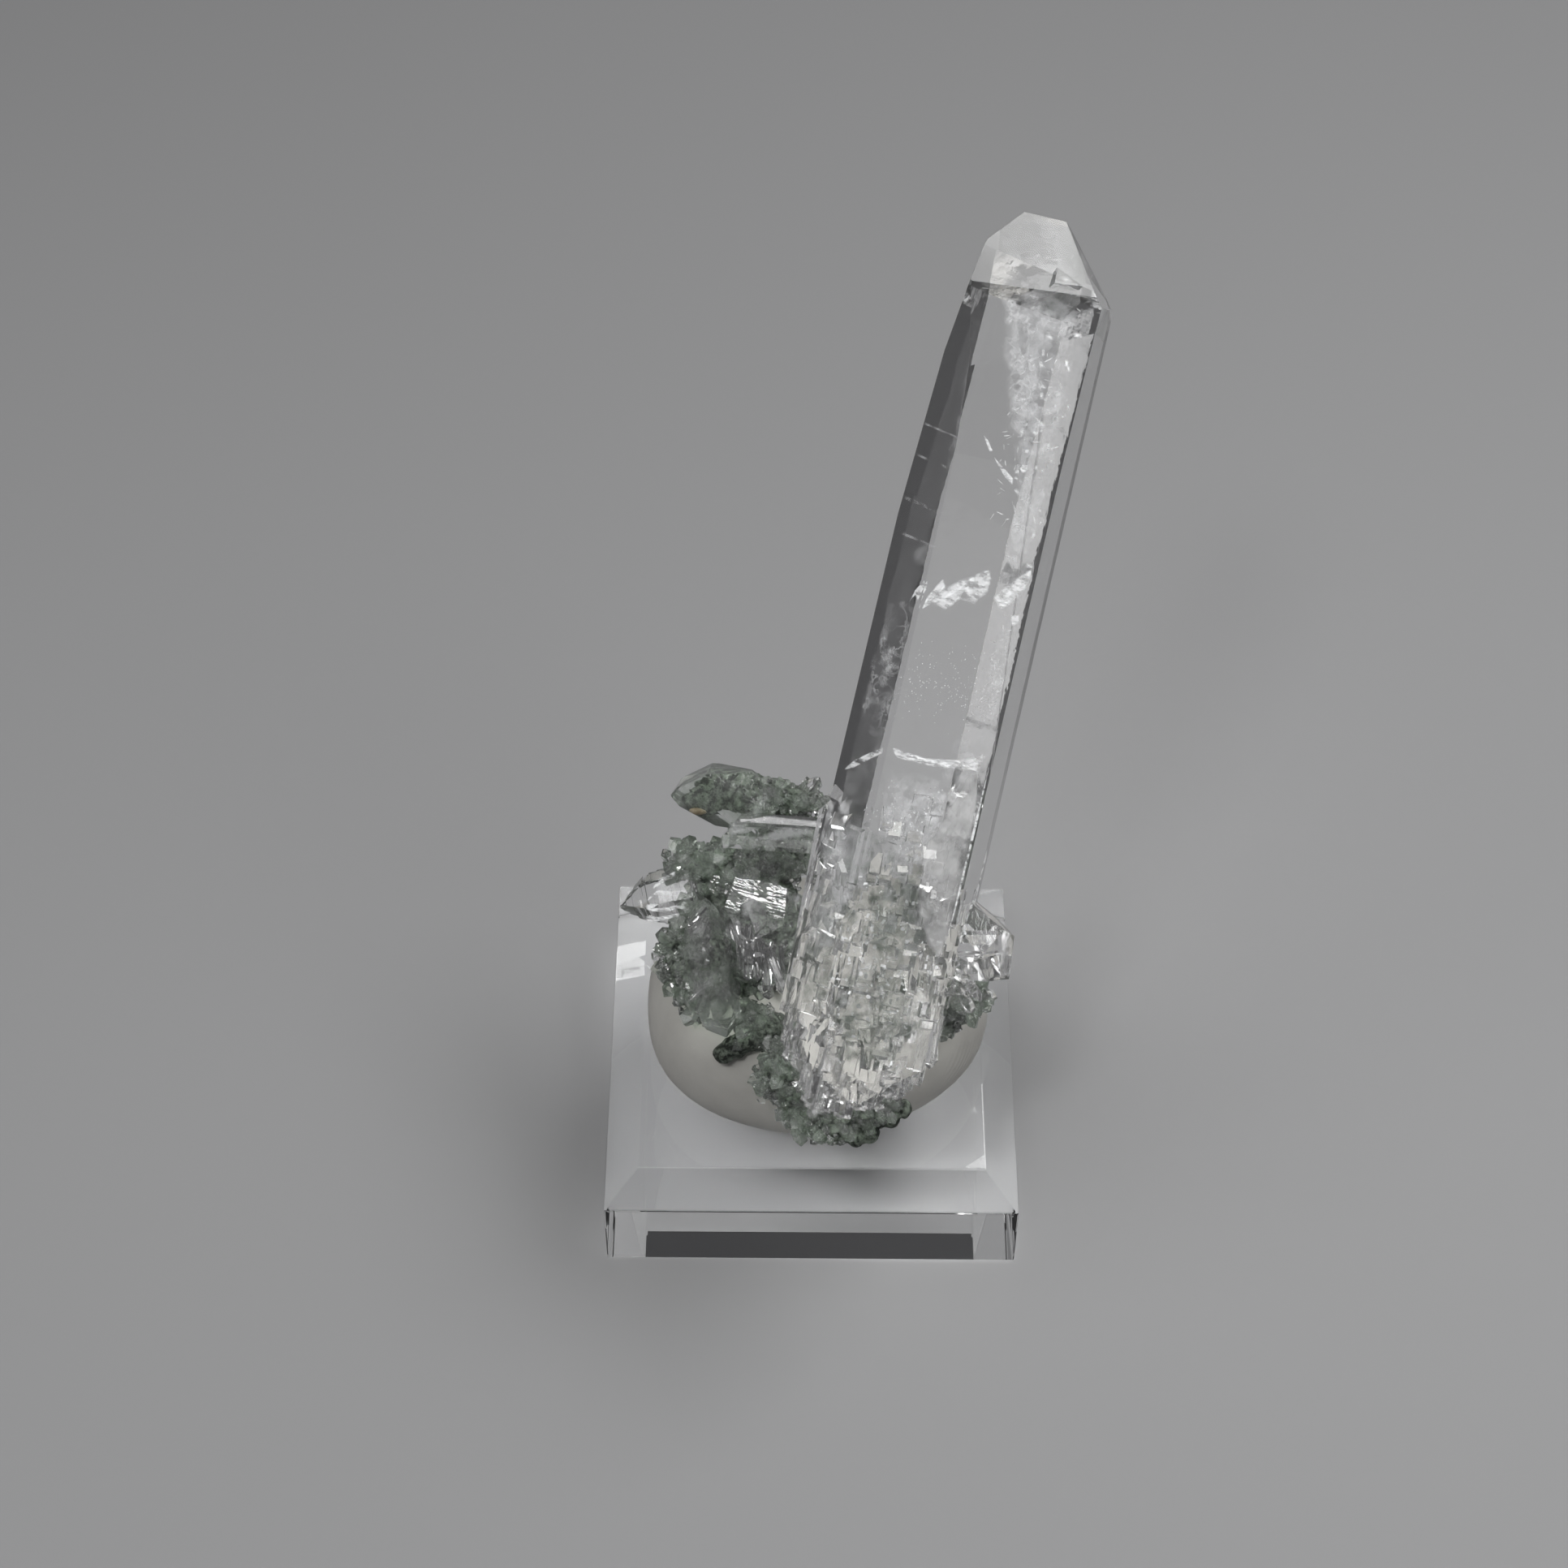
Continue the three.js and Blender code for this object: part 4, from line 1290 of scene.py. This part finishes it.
@dataclass
class GreenFinger:
    """The rounded finger of green chlorite that lies on the putty, and the drips under the root's foot."""

    knuckles: Sequence[tuple[Place, Place]] = (
        ((-7.4, 1.9, 6.2), (1.5, 1.3, 1.25)),
        ((-8.5, 2.0, 5.1), (1.35, 1.2, 1.1)),
        ((-9.4, 2.1, 4.2), (1.2, 1.15, 1.0)),
        ((-10.2, 2.2, 3.4), (1.0, 1.0, 0.85)),
    )
    drips: Sequence[tuple[Number, Number, Number, Number]] = (
        (0.1, -0.6, 0.3, 0.8), (0.9, -0.7, 0.0, 0.75), (2.0, -0.5, -0.2, 0.8), (3.0, -0.4, 0.3, 0.75),
        (3.5, -0.3, 1.6, 0.65), (4.4, -0.2, 1.9, 0.75), (5.2, 0.2, 2.8, 0.7),
        (2.2, -0.6, 1.1, 0.8), (1.1, -0.8, 1.1, 0.8),
    )

    def build(self, felt: Material) -> None:
        """Makes the finger and the drips, rounded and finely granular."""
        swing = Matrix.Rotation(math.radians(-30), 4, "Y")
        finger = [
            Workbench.knob("knuckle", Vector(radii), Matrix.Translation(place) @ swing)
            for place, radii in self.knuckles
        ]
        drips = [
            Workbench.knob("drip", (size, size, size * 1.15), Matrix.Translation((x, y, z)), 3)
            for x, y, z, size in self.drips
        ]
        for name, knobs in (("green_finger", finger), ("green_drips", drips)):
            body = Workbench.weld(knobs, name, 0.1)
            Workbench.roughen(body, 0.5, 0.3)
            settle(body, Node.LEFT, felt)


@dataclass
class GardenCrystal:
    """The lens-shaped crystal at the upper left: a clear hull over a garden of dark green inclusions."""

    hull: Sequence[Facet] = (
        Facet(0, 0, 1.9), Facet(180, 0, 2), Facet(20, 32, 2, 0.8), Facet(-25, -28, 2.1, -0.8),
        Facet(150, 35, 2.2, 0.8), Facet(200, -30, 2.2, -0.8), Facet.top(2.2), Facet.base(-2.35),
        Facet(270, 62, 2.4, 1.8), Facet(270, 35, 4.2, 0.8), Facet(270, -38, 4.3, -0.7),
        Facet(270, -66, 1.8, -2), Facet(90, 55, 2.4, 1.8), Facet(90, -55, 2.6, -1.8), Facet(90, 0, 4.3),
        Facet(300, 10, 4.3), Facet(235, -5, 4.3),
    )
    centre: Place = (-14.6, 3.6, 24.3)
    mosses: Sequence[tuple[Place, Place]] = (
        ((1.0, 0.3, 0.35), (3.1, 1.1, 1.6)),
        ((-1.9, 0.0, -0.3), (1.8, 1.0, 1.2)),
        ((2.6, 0.3, -0.6), (1.2, 0.9, 1.1)),
        ((-0.6, 0.6, 0.9), (2.2, 0.6, 0.75)),
    )

    def pose(self) -> Matrix:
        """Where the crystal sits."""
        return aimed(self.centre, (-0.2, -0.1, 1))

    def build(self, glass: Material, felt: Material, veil: Material, amber: Material) -> None:
        """Makes the hull and what it holds."""
        settle(Workbench.crystal("garden_hull", self.hull, 8, self.pose()), Node.LEFT, glass)
        mosses = [
            Workbench.knob("moss", Vector(radii), self.pose() @ Matrix.Translation(place))
            for place, radii in self.mosses
        ]
        moss = Workbench.weld(mosses, "garden_moss", 0.12)
        Workbench.roughen(moss, 0.7, 0.6)
        settle(Workbench.roughen(moss, 0.25, 0.25), Node.LEFT, felt)
        pane = ((1.2, -1.1, -0.2), (3.4, -1.0, 0.6), (3.7, -0.9, -0.6), (2.4, -1.1, -1.5), (1.6, -1.2, -1.2))
        sheet = Workbench.traced("garden_pane", pane, 0.3, 3, 4)
        settle(sheet, Node.LEFT, veil, SPECIMEN @ self.pose())
        spot = Workbench.knob(
            "amber_spot", (0.75, 0.25, 0.3), self.pose() @ Matrix.Translation((-2.4, -0.95, -1.15)), 3
        )
        settle(Workbench.roughen(spot, 0.5, 0.3), Node.LEFT, amber)


class Milk(Enum):
    """The looks of what is inside the clear crystal, and of the painted shade, highlights and reflections put
    inside it.
    """

    # White veils, and also the painted highlight along the right front edge
    DENSE_AND_HIGHLIGHT = "white_veil"
    # Faint veils, and also the painted reflections on the short crystal and the blade
    FAINT_AND_REFLECTION = "faint_veil"
    THREADS = "white_threads"
    SOFT = "soft_milk"
    # Dark green: chlorite wisps, and also painted shade that darkens the lower root
    GREEN = "green_wisps"
    MIST = "mist"
    SPECK = "white_specks"
    # Cream: the milky root, and also the painted highlight under the tip's small facet
    CREAM_AND_HIGHLIGHT = "cream"


@dataclass(frozen=True)
class Film:
    """A healed crack or a sheet of bubbles behind one of the point's faces; a few films are painted shade or
    a painted highlight instead.

    Its corners go by their distance across the face and their height.
    """

    name: str
    look: Milk
    depth: Number
    corners: Sequence[Span]
    rag: Number = 0.5
    face: int = FRONT


WEB = (
    (-3.4, 68.9), (-3.2, 66.7), (-2.8, 64.3), (-2.1, 61.9), (-1.4, 59.5), (0, 57.2), (0.7, 54.7),
    (0.8, 52.2), (1.1, 49.6),
    (2.6, 49.4), (3.1, 52), (3.2, 58), (3.2, 64), (3, 68.6), (0, 69),
)
FILMS = (
    Film("web_front", Milk.THREADS, 0.5, WEB),
    Film("web_mist", Milk.MIST, 0.4, WEB, 1.4),
    Film("web_middle", Milk.THREADS, 1.5, [(across + 0.4, up - 0.6) for across, up in WEB if across < 2.7]),
    Film("web_back", Milk.FAINT_AND_REFLECTION, 2.6, [(across * 0.8 + 0.6, up - 1) for across, up in WEB if across < 2.7]),
    Film(
        "web_low", Milk.THREADS, 0.8,
        ((1.5, 47), (3.2, 48), (3.3, 42), (3.3, 36), (2.2, 33), (1.6, 38), (1.8, 43))
    ),
    Film("wing", Milk.DENSE_AND_HIGHLIGHT, 0.6, (
        (-4.9, 43.9), (-4.7, 45), (-4.2, 45.9), (-3.7, 46.8), (-3.3, 46.1), (-2.4, 46.8),
        (-1.2, 47.5), (-0.1, 48.2),
        (0.3, 47.3), (0.2, 46.2), (-0.7, 45.2), (-1.9, 45.3), (-2.9, 44.3), (-4.1, 44.6)
    ), 0.7),
    Film(
        "small_wing", Milk.DENSE_AND_HIGHLIGHT, 0.6,
        ((0.6, 46), (1.6, 47.2), (2.9, 48.5), (3.4, 48.9), (3.3, 47.4), (2.5, 45.8), (1.5, 45.1)), 0.7
    ),
    Film("needle", Milk.DENSE_AND_HIGHLIGHT, 0.4, ((-3.1, 58.2), (-2.7, 58), (-2, 57.1), (-2.3, 57)), 0.1),
    Film(
        "long_needle", Milk.DENSE_AND_HIGHLIGHT, 0.4, ((-2, 56.8), (-1.5, 56.5), (0.1, 55.4), (0.2, 54.8), (-0.6, 55.3)),
        0.1
    ),
    Film("chip", Milk.DENSE_AND_HIGHLIGHT, 0.5, ((2.4, 44.9), (3.2, 45.1), (3.3, 44.4), (2.7, 44)), 0.3),
    Film("arc", Milk.DENSE_AND_HIGHLIGHT, 0.5, (
        (-4.8, 33.0), (-3.9, 32.9), (-1.8, 32.6), (0.9, 32.9), (3.1, 33.8),
        (2.8, 32.2), (-0.9, 32.0), (-4.3, 32.2),
    ), 0.5),
    Film(
        "left_arc", Milk.DENSE_AND_HIGHLIGHT, 0.4,
        ((-1.1, 29.9), (-0.2, 31), (1.2, 32), (2.6, 32.9), (2.6, 32.3), (1.3, 31.4), (0, 30.4)), 0.4,
        LEFT_FRONT
    ),
    Film(
        "loop", Milk.DENSE_AND_HIGHLIGHT, 0.5,
        ((1.5, 44.2), (1.9, 45.4), (2.6, 46.4), (2.8, 45.8), (2.4, 44.4), (2.0, 44.9)), 0.5, LEFT_FRONT
    ),
    Film(
        "left_haze", Milk.THREADS, 0.6,
        ((-0.9, 33), (2.4, 33.4), (2.5, 38), (2.4, 43.4), (1.4, 45.6), (-0.8, 42), (-1, 37.6)), 0.6,
        LEFT_FRONT
    ),
    Film("left_milk_back", Milk.SOFT, 1.3, ((-1, 26), (2.2, 26.8), (2.6, 19), (0, 18)), 0.6, LEFT_FRONT),
    Film(
        "left_milk", Milk.SOFT, 0.3, ((-1.35, 26.8), (2.7, 27.4), (2.8, 17), (1, 15.6), (-1.2, 16.4)), 0.5,
        LEFT_FRONT
    ),
    Film(
        "tip_haze", Milk.MIST, 0.4,
        ((-4.3, 69.2), (-2.5, 69.6), (0, 69.8), (2.4, 69.4), (3.1, 67.6), (0.6, 66.6), (-2.8, 67.2)), 0.5
    ),
    Film("cream_front", Milk.CREAM_AND_HIGHLIGHT, 0.35, (
        (-0.6, 25.5), (0.5, 28.5), (1.6, 32), (2.9, 33), (3.4, 27),
        (3.5, 19.5), (3.2, 16.6), (1.8, 17.8), (0.6, 19.6), (-0.3, 22),
    )),
    Film("cream_back", Milk.CREAM_AND_HIGHLIGHT, 1.3, ((0.2, 27), (1.8, 30), (3, 27), (3, 19), (1.4, 18.6), (0.4, 21))),
    Film("crescent", Milk.DENSE_AND_HIGHLIGHT, 0.3, (
        (3.2, 25.5), (4.1, 24.6), (3.8, 20.5), (2.2, 17.4), (0.4, 15.9), (1.4, 18), (2.9, 21.3)
    ), 0.3, RIGHT_FRONT),
    # The next three films are painted shade: dark sheets that darken the lower root.
    Film(
        "root_painted_shade_front", Milk.GREEN, 1.2,
        ((-4.6, 15), (-1, 16), (2.8, 15.4), (3.2, 10.5), (0.4, 6.5), (-3.6, 7.4)), 0.7
    ),
    Film("root_painted_shade_back", Milk.GREEN, 2.4, ((-4, 14), (0.6, 15.4), (3, 12.6), (2, 8), (-2.4, 6))),
    Film("root_painted_shade_left", Milk.GREEN, 0.9, ((-1, 20), (2.4, 20.6), (2.6, 10), (0, 9.4)), 0.6, LEFT_FRONT),
    Film(
        "root_mist", Milk.FAINT_AND_REFLECTION, 0.7,
        ((-4.8, 31), (-1.5, 31.4), (1.6, 30.8), (2, 26.4), (-1, 25), (-4.2, 25.8)), 0.6
    ),
    Film("root_veil", Milk.FAINT_AND_REFLECTION, 1.6, ((-4, 30), (0, 30.6), (1.6, 27.4), (0.4, 23.4), (-3.4, 23.6)), 0.7),
    Film("streak_1", Milk.FAINT_AND_REFLECTION, 0.2, ((-1.3, 49.2), (2.9, 48.9), (3, 49.1), (-1.3, 49.45)), 0, LEFT_FRONT),
    Film("streak_2", Milk.FAINT_AND_REFLECTION, 0.2, ((-1.3, 51.9), (3, 51.5), (3, 51.75), (-1.3, 52.2)), 0, LEFT_FRONT),
    Film("streak_3", Milk.FAINT_AND_REFLECTION, 0.2, ((-1.2, 55.4), (2.8, 55.0), (2.9, 55.2), (-1.2, 55.6)), 0, LEFT_FRONT),
    Film("streak_4", Milk.FAINT_AND_REFLECTION, 0.2, ((-1.2, 57.9), (2.9, 57.5), (2.9, 57.65), (-1.2, 58.1)), 0, LEFT_FRONT),
    # A thin white film just under the right front edge: a painted highlight where the edge glints.
    Film(
        "painted_edge_highlight", Milk.DENSE_AND_HIGHLIGHT, 0.12, ((3.2, 16.5), (3.45, 22), (3.55, 28), (3.45, 34), (3.3, 28), (3.25, 22)),
        0.1
    ),
    Film(
        "root_green_front", Milk.GREEN, 1.1,
        ((-3.9, 21.5), (-1, 22.6), (2.2, 21.4), (2.4, 17.5), (0, 15.6), (-3.4, 16.2))
    ),
    Film("root_green_back", Milk.GREEN, 2.2, ((-3.2, 23.4), (1, 24), (2.6, 20), (1.6, 15), (-2.6, 14.4))),
)


@dataclass(frozen=True)
class Batch:
    """Small pieces strewn behind one of the point's faces.

    Its spans are of the distance across the face, the height, the depth and the size.
    """

    name: str
    look: Milk
    count: int
    across: Span
    up: Span
    depth: Span
    size: Span
    form: str = "flake"
    face: int = FRONT


BATCHES = (
    Batch("bright_flakes", Milk.DENSE_AND_HIGHLIGHT, 46, (0.2, 3.4), (48, 68.5), (0.4, 2.4), (0.3, 0.9)),
    Batch("web_dashes", Milk.DENSE_AND_HIGHLIGHT, 110, (-1.2, 3.3), (49, 69.5), (0.3, 2.6), (0.3, 1.3), "dash"),
    Batch("low_dashes", Milk.DENSE_AND_HIGHLIGHT, 40, (1.6, 3.4), (33, 48), (0.3, 1.6), (0.3, 0.9), "dash"),
    Batch("milky_flakes", Milk.FAINT_AND_REFLECTION, 120, (-4.8, 3.4), (5, 25), (0.5, 6), (0.4, 1.3)),
    Batch("root_specks", Milk.SPECK, 230, (-4.8, 3.4), (4, 24), (0.3, 6), (0.12, 0.42)),
    Batch("fine_dots", Milk.SPECK, 260, (-4.6, 3), (34.5, 42), (0.5, 2), (0.03, 0.1)),
    Batch("upper_grains", Milk.SPECK, 80, (-4.8, 1.6), (24.5, 31), (0.4, 2.4), (0.05, 0.18)),
    Batch("soft_cloud", Milk.SOFT, 90, (0.4, 3.3), (16, 35), (0.6, 2.4), (0.9, 2.0)),
    # The green wisps are chlorite and also painted shade that darkens the root; the dark shapes below them
    # are painted shade.
    Batch("green_wisps", Milk.GREEN, 160, (-4.9, 1.6), (15, 29), (0.8, 4), (0.4, 1.5)),
    Batch("painted_shade_shapes", Milk.GREEN, 150, (-4.6, 3.2), (5, 16), (0.8, 5), (0.3, 1.2)),
    Batch("left_wisps", Milk.GREEN, 60, (-1.2, 2.6), (8, 25), (0.5, 3), (0.4, 1.3), face=LEFT_FRONT),
)


@dataclass
class Inclusions:
    """The bright ragged veils, threads and flakes inside the main point, with painted shade in its root and
    painted highlights along an edge and at the tip.
    """

    flakes: Sequence[Sequence[Place]] = (
        ((-0.5, 0, -0.3), (0.1, 0, -0.55), (0.55, 0, -0.1), (0.3, 0, 0.45), (-0.35, 0, 0.4)),
        ((-0.25, 0, -0.6), (0.3, 0, -0.45), (0.2, 0, 0.6), (-0.3, 0, 0.5)),
        ((-0.6, 0, -0.15), (0.5, 0, -0.3), (0.6, 0, 0.1), (-0.2, 0, 0.35)),
    )
    dashes: Sequence[Sequence[Place]] = (
        ((-0.5, 0, -0.04), (0.1, 0, -0.07), (0.5, 0, 0), (0.1, 0, 0.04), (-0.3, 0, 0.04)),
        ((-0.4, 0, -0.14), (0.1, 0, 0), (0.4, 0, 0.2), (0.05, 0, 0.09), (-0.3, 0, -0.03)),
    )
    point: MainPoint = field(default_factory=MainPoint)

    def strewn(self, batch: Batch, forms: Sequence[Thing], seed: int) -> Thing:
        """Copies the forms to chance places in a batch's spans, as far as the point holds them."""
        draw = random.Random(seed)
        swing = math.pi / 2 if batch.form == "dash" else 0.5
        made = []
        for _ in range(batch.count):
            spot = (draw.uniform(*batch.across), draw.triangular(*batch.up), draw.uniform(*batch.depth))
            place, size = Vector(self.point.under(batch.face, *spot)), draw.uniform(*batch.size)
            turn = askew(draw, (-0.6, 0.6), (-0.5, 0.5))
            turn = turn @ Matrix.Rotation(draw.uniform(-swing, swing), 4, "Y")
            form = forms[draw.randrange(len(forms))]
            if self.point.holds(place, size * 0.4):
                made.append(
                    Workbench.copy(form, batch.name, Matrix.Translation(place) @ turn @ Matrix.Scale(size, 4))
                )
        return Workbench.join(made, batch.name)

    def build(self, looks: dict[Milk, Material]) -> None:
        """Makes the films, the painted highlight at the tip, then the batches of flakes and dashes."""
        for number, film in enumerate(FILMS):
            outline = [self.point.under(film.face, across, up, film.depth) for across, up in film.corners]
            sheet = Workbench.traced(f"film_{film.name}", outline, film.rag, 5, number + 2)
            settle(sheet, Node.QUARTZ, looks[film.look])
        forms = {
            "flake": [
                Workbench.traced("flake", outline, 0.9, 2, i + 3) for i, outline in enumerate(self.flakes)
            ],
            "dash": [
                Workbench.traced("dash", outline, 0.5, 2, i + 7) for i, outline in enumerate(self.dashes)
            ],
        }
        # A cream film just under the tip's small facet: a painted highlight that brightens the facet.
        glow = Workbench.traced(
            "tip_painted_highlight", ((1.9, -3.7, 71.6), (3.8, -3.62, 70.95), (2.0, -4.25, 70.8)), 0.1, 2, 1
        )
        settle(glow, Node.QUARTZ, looks[Milk.CREAM_AND_HIGHLIGHT])
        for number, batch in enumerate(BATCHES):
            pieces = self.strewn(batch, forms[batch.form], number + 55)
            settle(pieces, Node.QUARTZ, looks[batch.look])
        Workbench.discard(*forms["flake"], *forms["dash"])


@dataclass
class DisplayBlock:
    """The clear square block with bevelled top edges."""

    width: Number = 35.0
    side_height: Number = 7.35
    bevel_rise: Number = 2.5
    bevel_run: Number = 2.8
    edge: Number = 0.12

    def build(self, material: Material) -> Thing:
        """Makes the block, its long edges just broken."""
        half = self.width / 2
        top = self.side_height + self.bevel_rise
        slope = math.degrees(math.atan2(self.bevel_run, self.bevel_rise))
        body = Workbench.block("display_block", (-half, -half, 0), (half, half, top))
        Workbench.cut(body, [Facet(a, slope, half, self.side_height) for a in (0, 90, 180, 270)])
        Workbench.bevel(body, self.edge, 2, math.radians(20))
        return settle(body, Node.BASE, material, Matrix.Identity(4))


@dataclass
class PuttyMound:
    """The putty, moulded round the specimen's foot."""

    voxel: Number = 0.3
    swell: Number = 0.16

    def build(self, material: Material) -> Thing:
        """Copies the plain solid, rounds it as kneaded putty is, and presses it against what it holds."""
        body = Workbench.copy(frame["nodes"][Node.PUTTY.value], "putty_mound", Matrix.Scale(1 / MM, 4))
        body.parent = None
        body.hide_viewport = body.hide_render = False
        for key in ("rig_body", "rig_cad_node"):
            del body[key]
        Workbench.pick(body)
        bpy.ops.object.mode_set(mode="EDIT")
        bpy.ops.mesh.select_all(action="SELECT")
        bpy.ops.mesh.remove_doubles(threshold=0.001)
        bpy.ops.object.mode_set(mode="OBJECT")
        Workbench.apply(body, "REMESH", mode="VOXEL", voxel_size=self.voxel)
        Workbench.apply(body, "SMOOTH", factor=0.5, iterations=10)
        Workbench.apply(body, "DISPLACE", strength=self.swell, mid_level=0.0)
        Workbench.pick(body)
        bpy.ops.object.shade_smooth()
        return settle(body, Node.PUTTY, material, Matrix.Identity(4))


@dataclass
class Studio:
    """The pale floor, soft lamps and the camera at the photograph's angle."""

    camera_place: Place = (-2.24, -166.4, 237.83)
    back: Place = (0.0012, -0.6484, 0.7613)
    roll: Number = 0.33
    lens: Number = 74.09
    floor_colour: Colour = (0.34, 0.34, 0.344)
    room_light: Colour = (0.04, 0.04, 0.042)
    lamps: Sequence[tuple[str, Place, Span, Number, Place]] = (
        ("key", (205, 64, 340), (360, 130), 6.2, (15, 15, 60)),
        ("front", (148, -269, 162), (150, 120), 0.42, (15, 15, 60)),
        ("fill", (-330, -60, 400), (260, 260), 2.6, (0, 0, 30)),
        ("top", (-60, -150, 420), (240, 160), 1.6, (0, 0, 30)),
        ("sparkle", (-113, -161, 401), (60, 60), 32, (0, 0, 40)),
    )

    def camera(self) -> None:
        """Sets the camera."""
        data = bpy.data.cameras.new("camera")
        data.lens = self.lens
        data.clip_start, data.clip_end = 0.01, 20
        camera = bpy.data.objects.new("camera", data)
        bpy.context.scene.collection.objects.link(camera)
        back = Vector(self.back).normalized()
        right = Vector((0, 0, 1)).cross(back).normalized()
        up = back.cross(right)
        turn = Matrix((right, up, back)).transposed().to_4x4() @ Matrix.Rotation(
            math.radians(self.roll), 4, "Z"
        )
        camera.matrix_world = Matrix.Translation(Vector(self.camera_place) * MM) @ turn
        bpy.context.scene.camera = camera

    def floor(self) -> None:
        """Lays the floor, a hair under the block."""
        bpy.ops.object.select_all(action="DESELECT")
        bpy.ops.mesh.primitive_plane_add(size=6, location=(0, 0, -0.0002))
        floor = Workbench.named("floor")
        shade = Shade("floor")
        shade.base(Base_Color=rgba(self.floor_colour), Roughness=0.6)
        floor.data.materials.append(shade.material)

    @staticmethod
    def lamp(name: str, place: Place, size: Span, radiance: Number, aim: Place) -> None:
        """A soft box.

        Args:
            name: the lamp's name.
            place: its centre, in millimetres.
            size: its width and height, in millimetres.
            radiance: how bright its face is.
            aim: what it faces.
        """
        data = bpy.data.lights.new(name, "AREA")
        data.shape = "RECTANGLE"
        data.size, data.size_y = size[0] * MM, size[1] * MM
        data.energy = radiance * math.pi * data.size * data.size_y
        lamp = bpy.data.objects.new(name, data)
        bpy.context.scene.collection.objects.link(lamp)
        away = (Vector(place) - Vector(aim)).normalized()
        turn = away.to_track_quat("Z", "Y").to_matrix().to_4x4()
        lamp.matrix_world = Matrix.Translation(Vector(place) * MM) @ turn

    def lights(self) -> None:
        """Hangs the lamps and sets the room's dim light."""
        for lamp in self.lamps:
            self.lamp(*lamp)
        world = bpy.data.worlds.new("room")
        bpy.context.scene.world = world
        world.use_nodes = True
        world.node_tree.nodes["Background"].inputs["Color"].default_value = rgba(self.room_light)

    def set_up(self) -> None:
        """Sets up the whole stage."""
        self.camera()
        self.floor()
        self.lights()
        bpy.context.scene.view_settings.view_transform = "Standard"


def main() -> None:
    """Builds the pieces in order and sets the stage."""
    logging.basicConfig(level=logging.INFO, format="%(name)s: %(message)s")
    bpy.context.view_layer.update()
    studio = Studio()
    studio.set_up()
    DisplayBlock().build(CastAcrylic().material())
    PuttyMound().build(MineralPutty().material())
    quartz, druse_glass, felt = ClearQuartz().material(), ChloriteQuartz().material(), Chlorite().material()
    looks = {
        # White veils, and also the painted highlight along the right front edge
        Milk.DENSE_AND_HIGHLIGHT: Cloudy(
            Milk.DENSE_AND_HIGHLIGHT.value, 0.95, 1.6, low=0.34, high=0.56, stretch=(0.7, 0.7, 1.6)
        ).material(),
        # Faint veils, and also the painted reflections on the short crystal and the blade
        Milk.FAINT_AND_REFLECTION: Cloudy(Milk.FAINT_AND_REFLECTION.value, 0.3, 0.9).material(),
        Milk.MIST: Cloudy(Milk.MIST.value, 0.22, 0.8, low=0.38, high=0.66).material(),
        Milk.THREADS: Threads(Milk.THREADS.value, 0.8).material(),
        Milk.SOFT: Cloudy(Milk.SOFT.value, 0.34, 0.7, low=0.28, high=0.75).material(),
        # Dark green: chlorite wisps, and also painted shade in the lower root
        Milk.GREEN: Cloudy(Milk.GREEN.value, 0.6, 0.9, (0.12, 0.15, 0.12), 0.35, 0.75).material(),
        Milk.SPECK: Speck(Milk.SPECK.value).material(),
        # Cream: the milky root, and also the painted highlight at the tip
        Milk.CREAM_AND_HIGHLIGHT: Cloudy(Milk.CREAM_AND_HIGHLIGHT.value, 0.7, 0.45, grey(0.6), 0.25, 0.6).material(),
    }
    MainPoint().build(quartz)
    LeftPoint().build(quartz, looks[Milk.DENSE_AND_HIGHLIGHT])
    Inclusions().build(looks)
    Druse("left", Node.LEFT, LEFT_LUMPS).build(felt, druse_glass, quartz)
    Druse("right", Node.RIGHT, RIGHT_LUMPS).build(felt, druse_glass, quartz)
    LargeCrystals().build(felt, druse_glass, quartz, looks[Milk.FAINT_AND_REFLECTION])
    GreenFinger().build(felt)
    GardenCrystal().build(druse_glass, felt, looks[Milk.FAINT_AND_REFLECTION], IronStain().material())


if __name__ == "__main__":
    main()
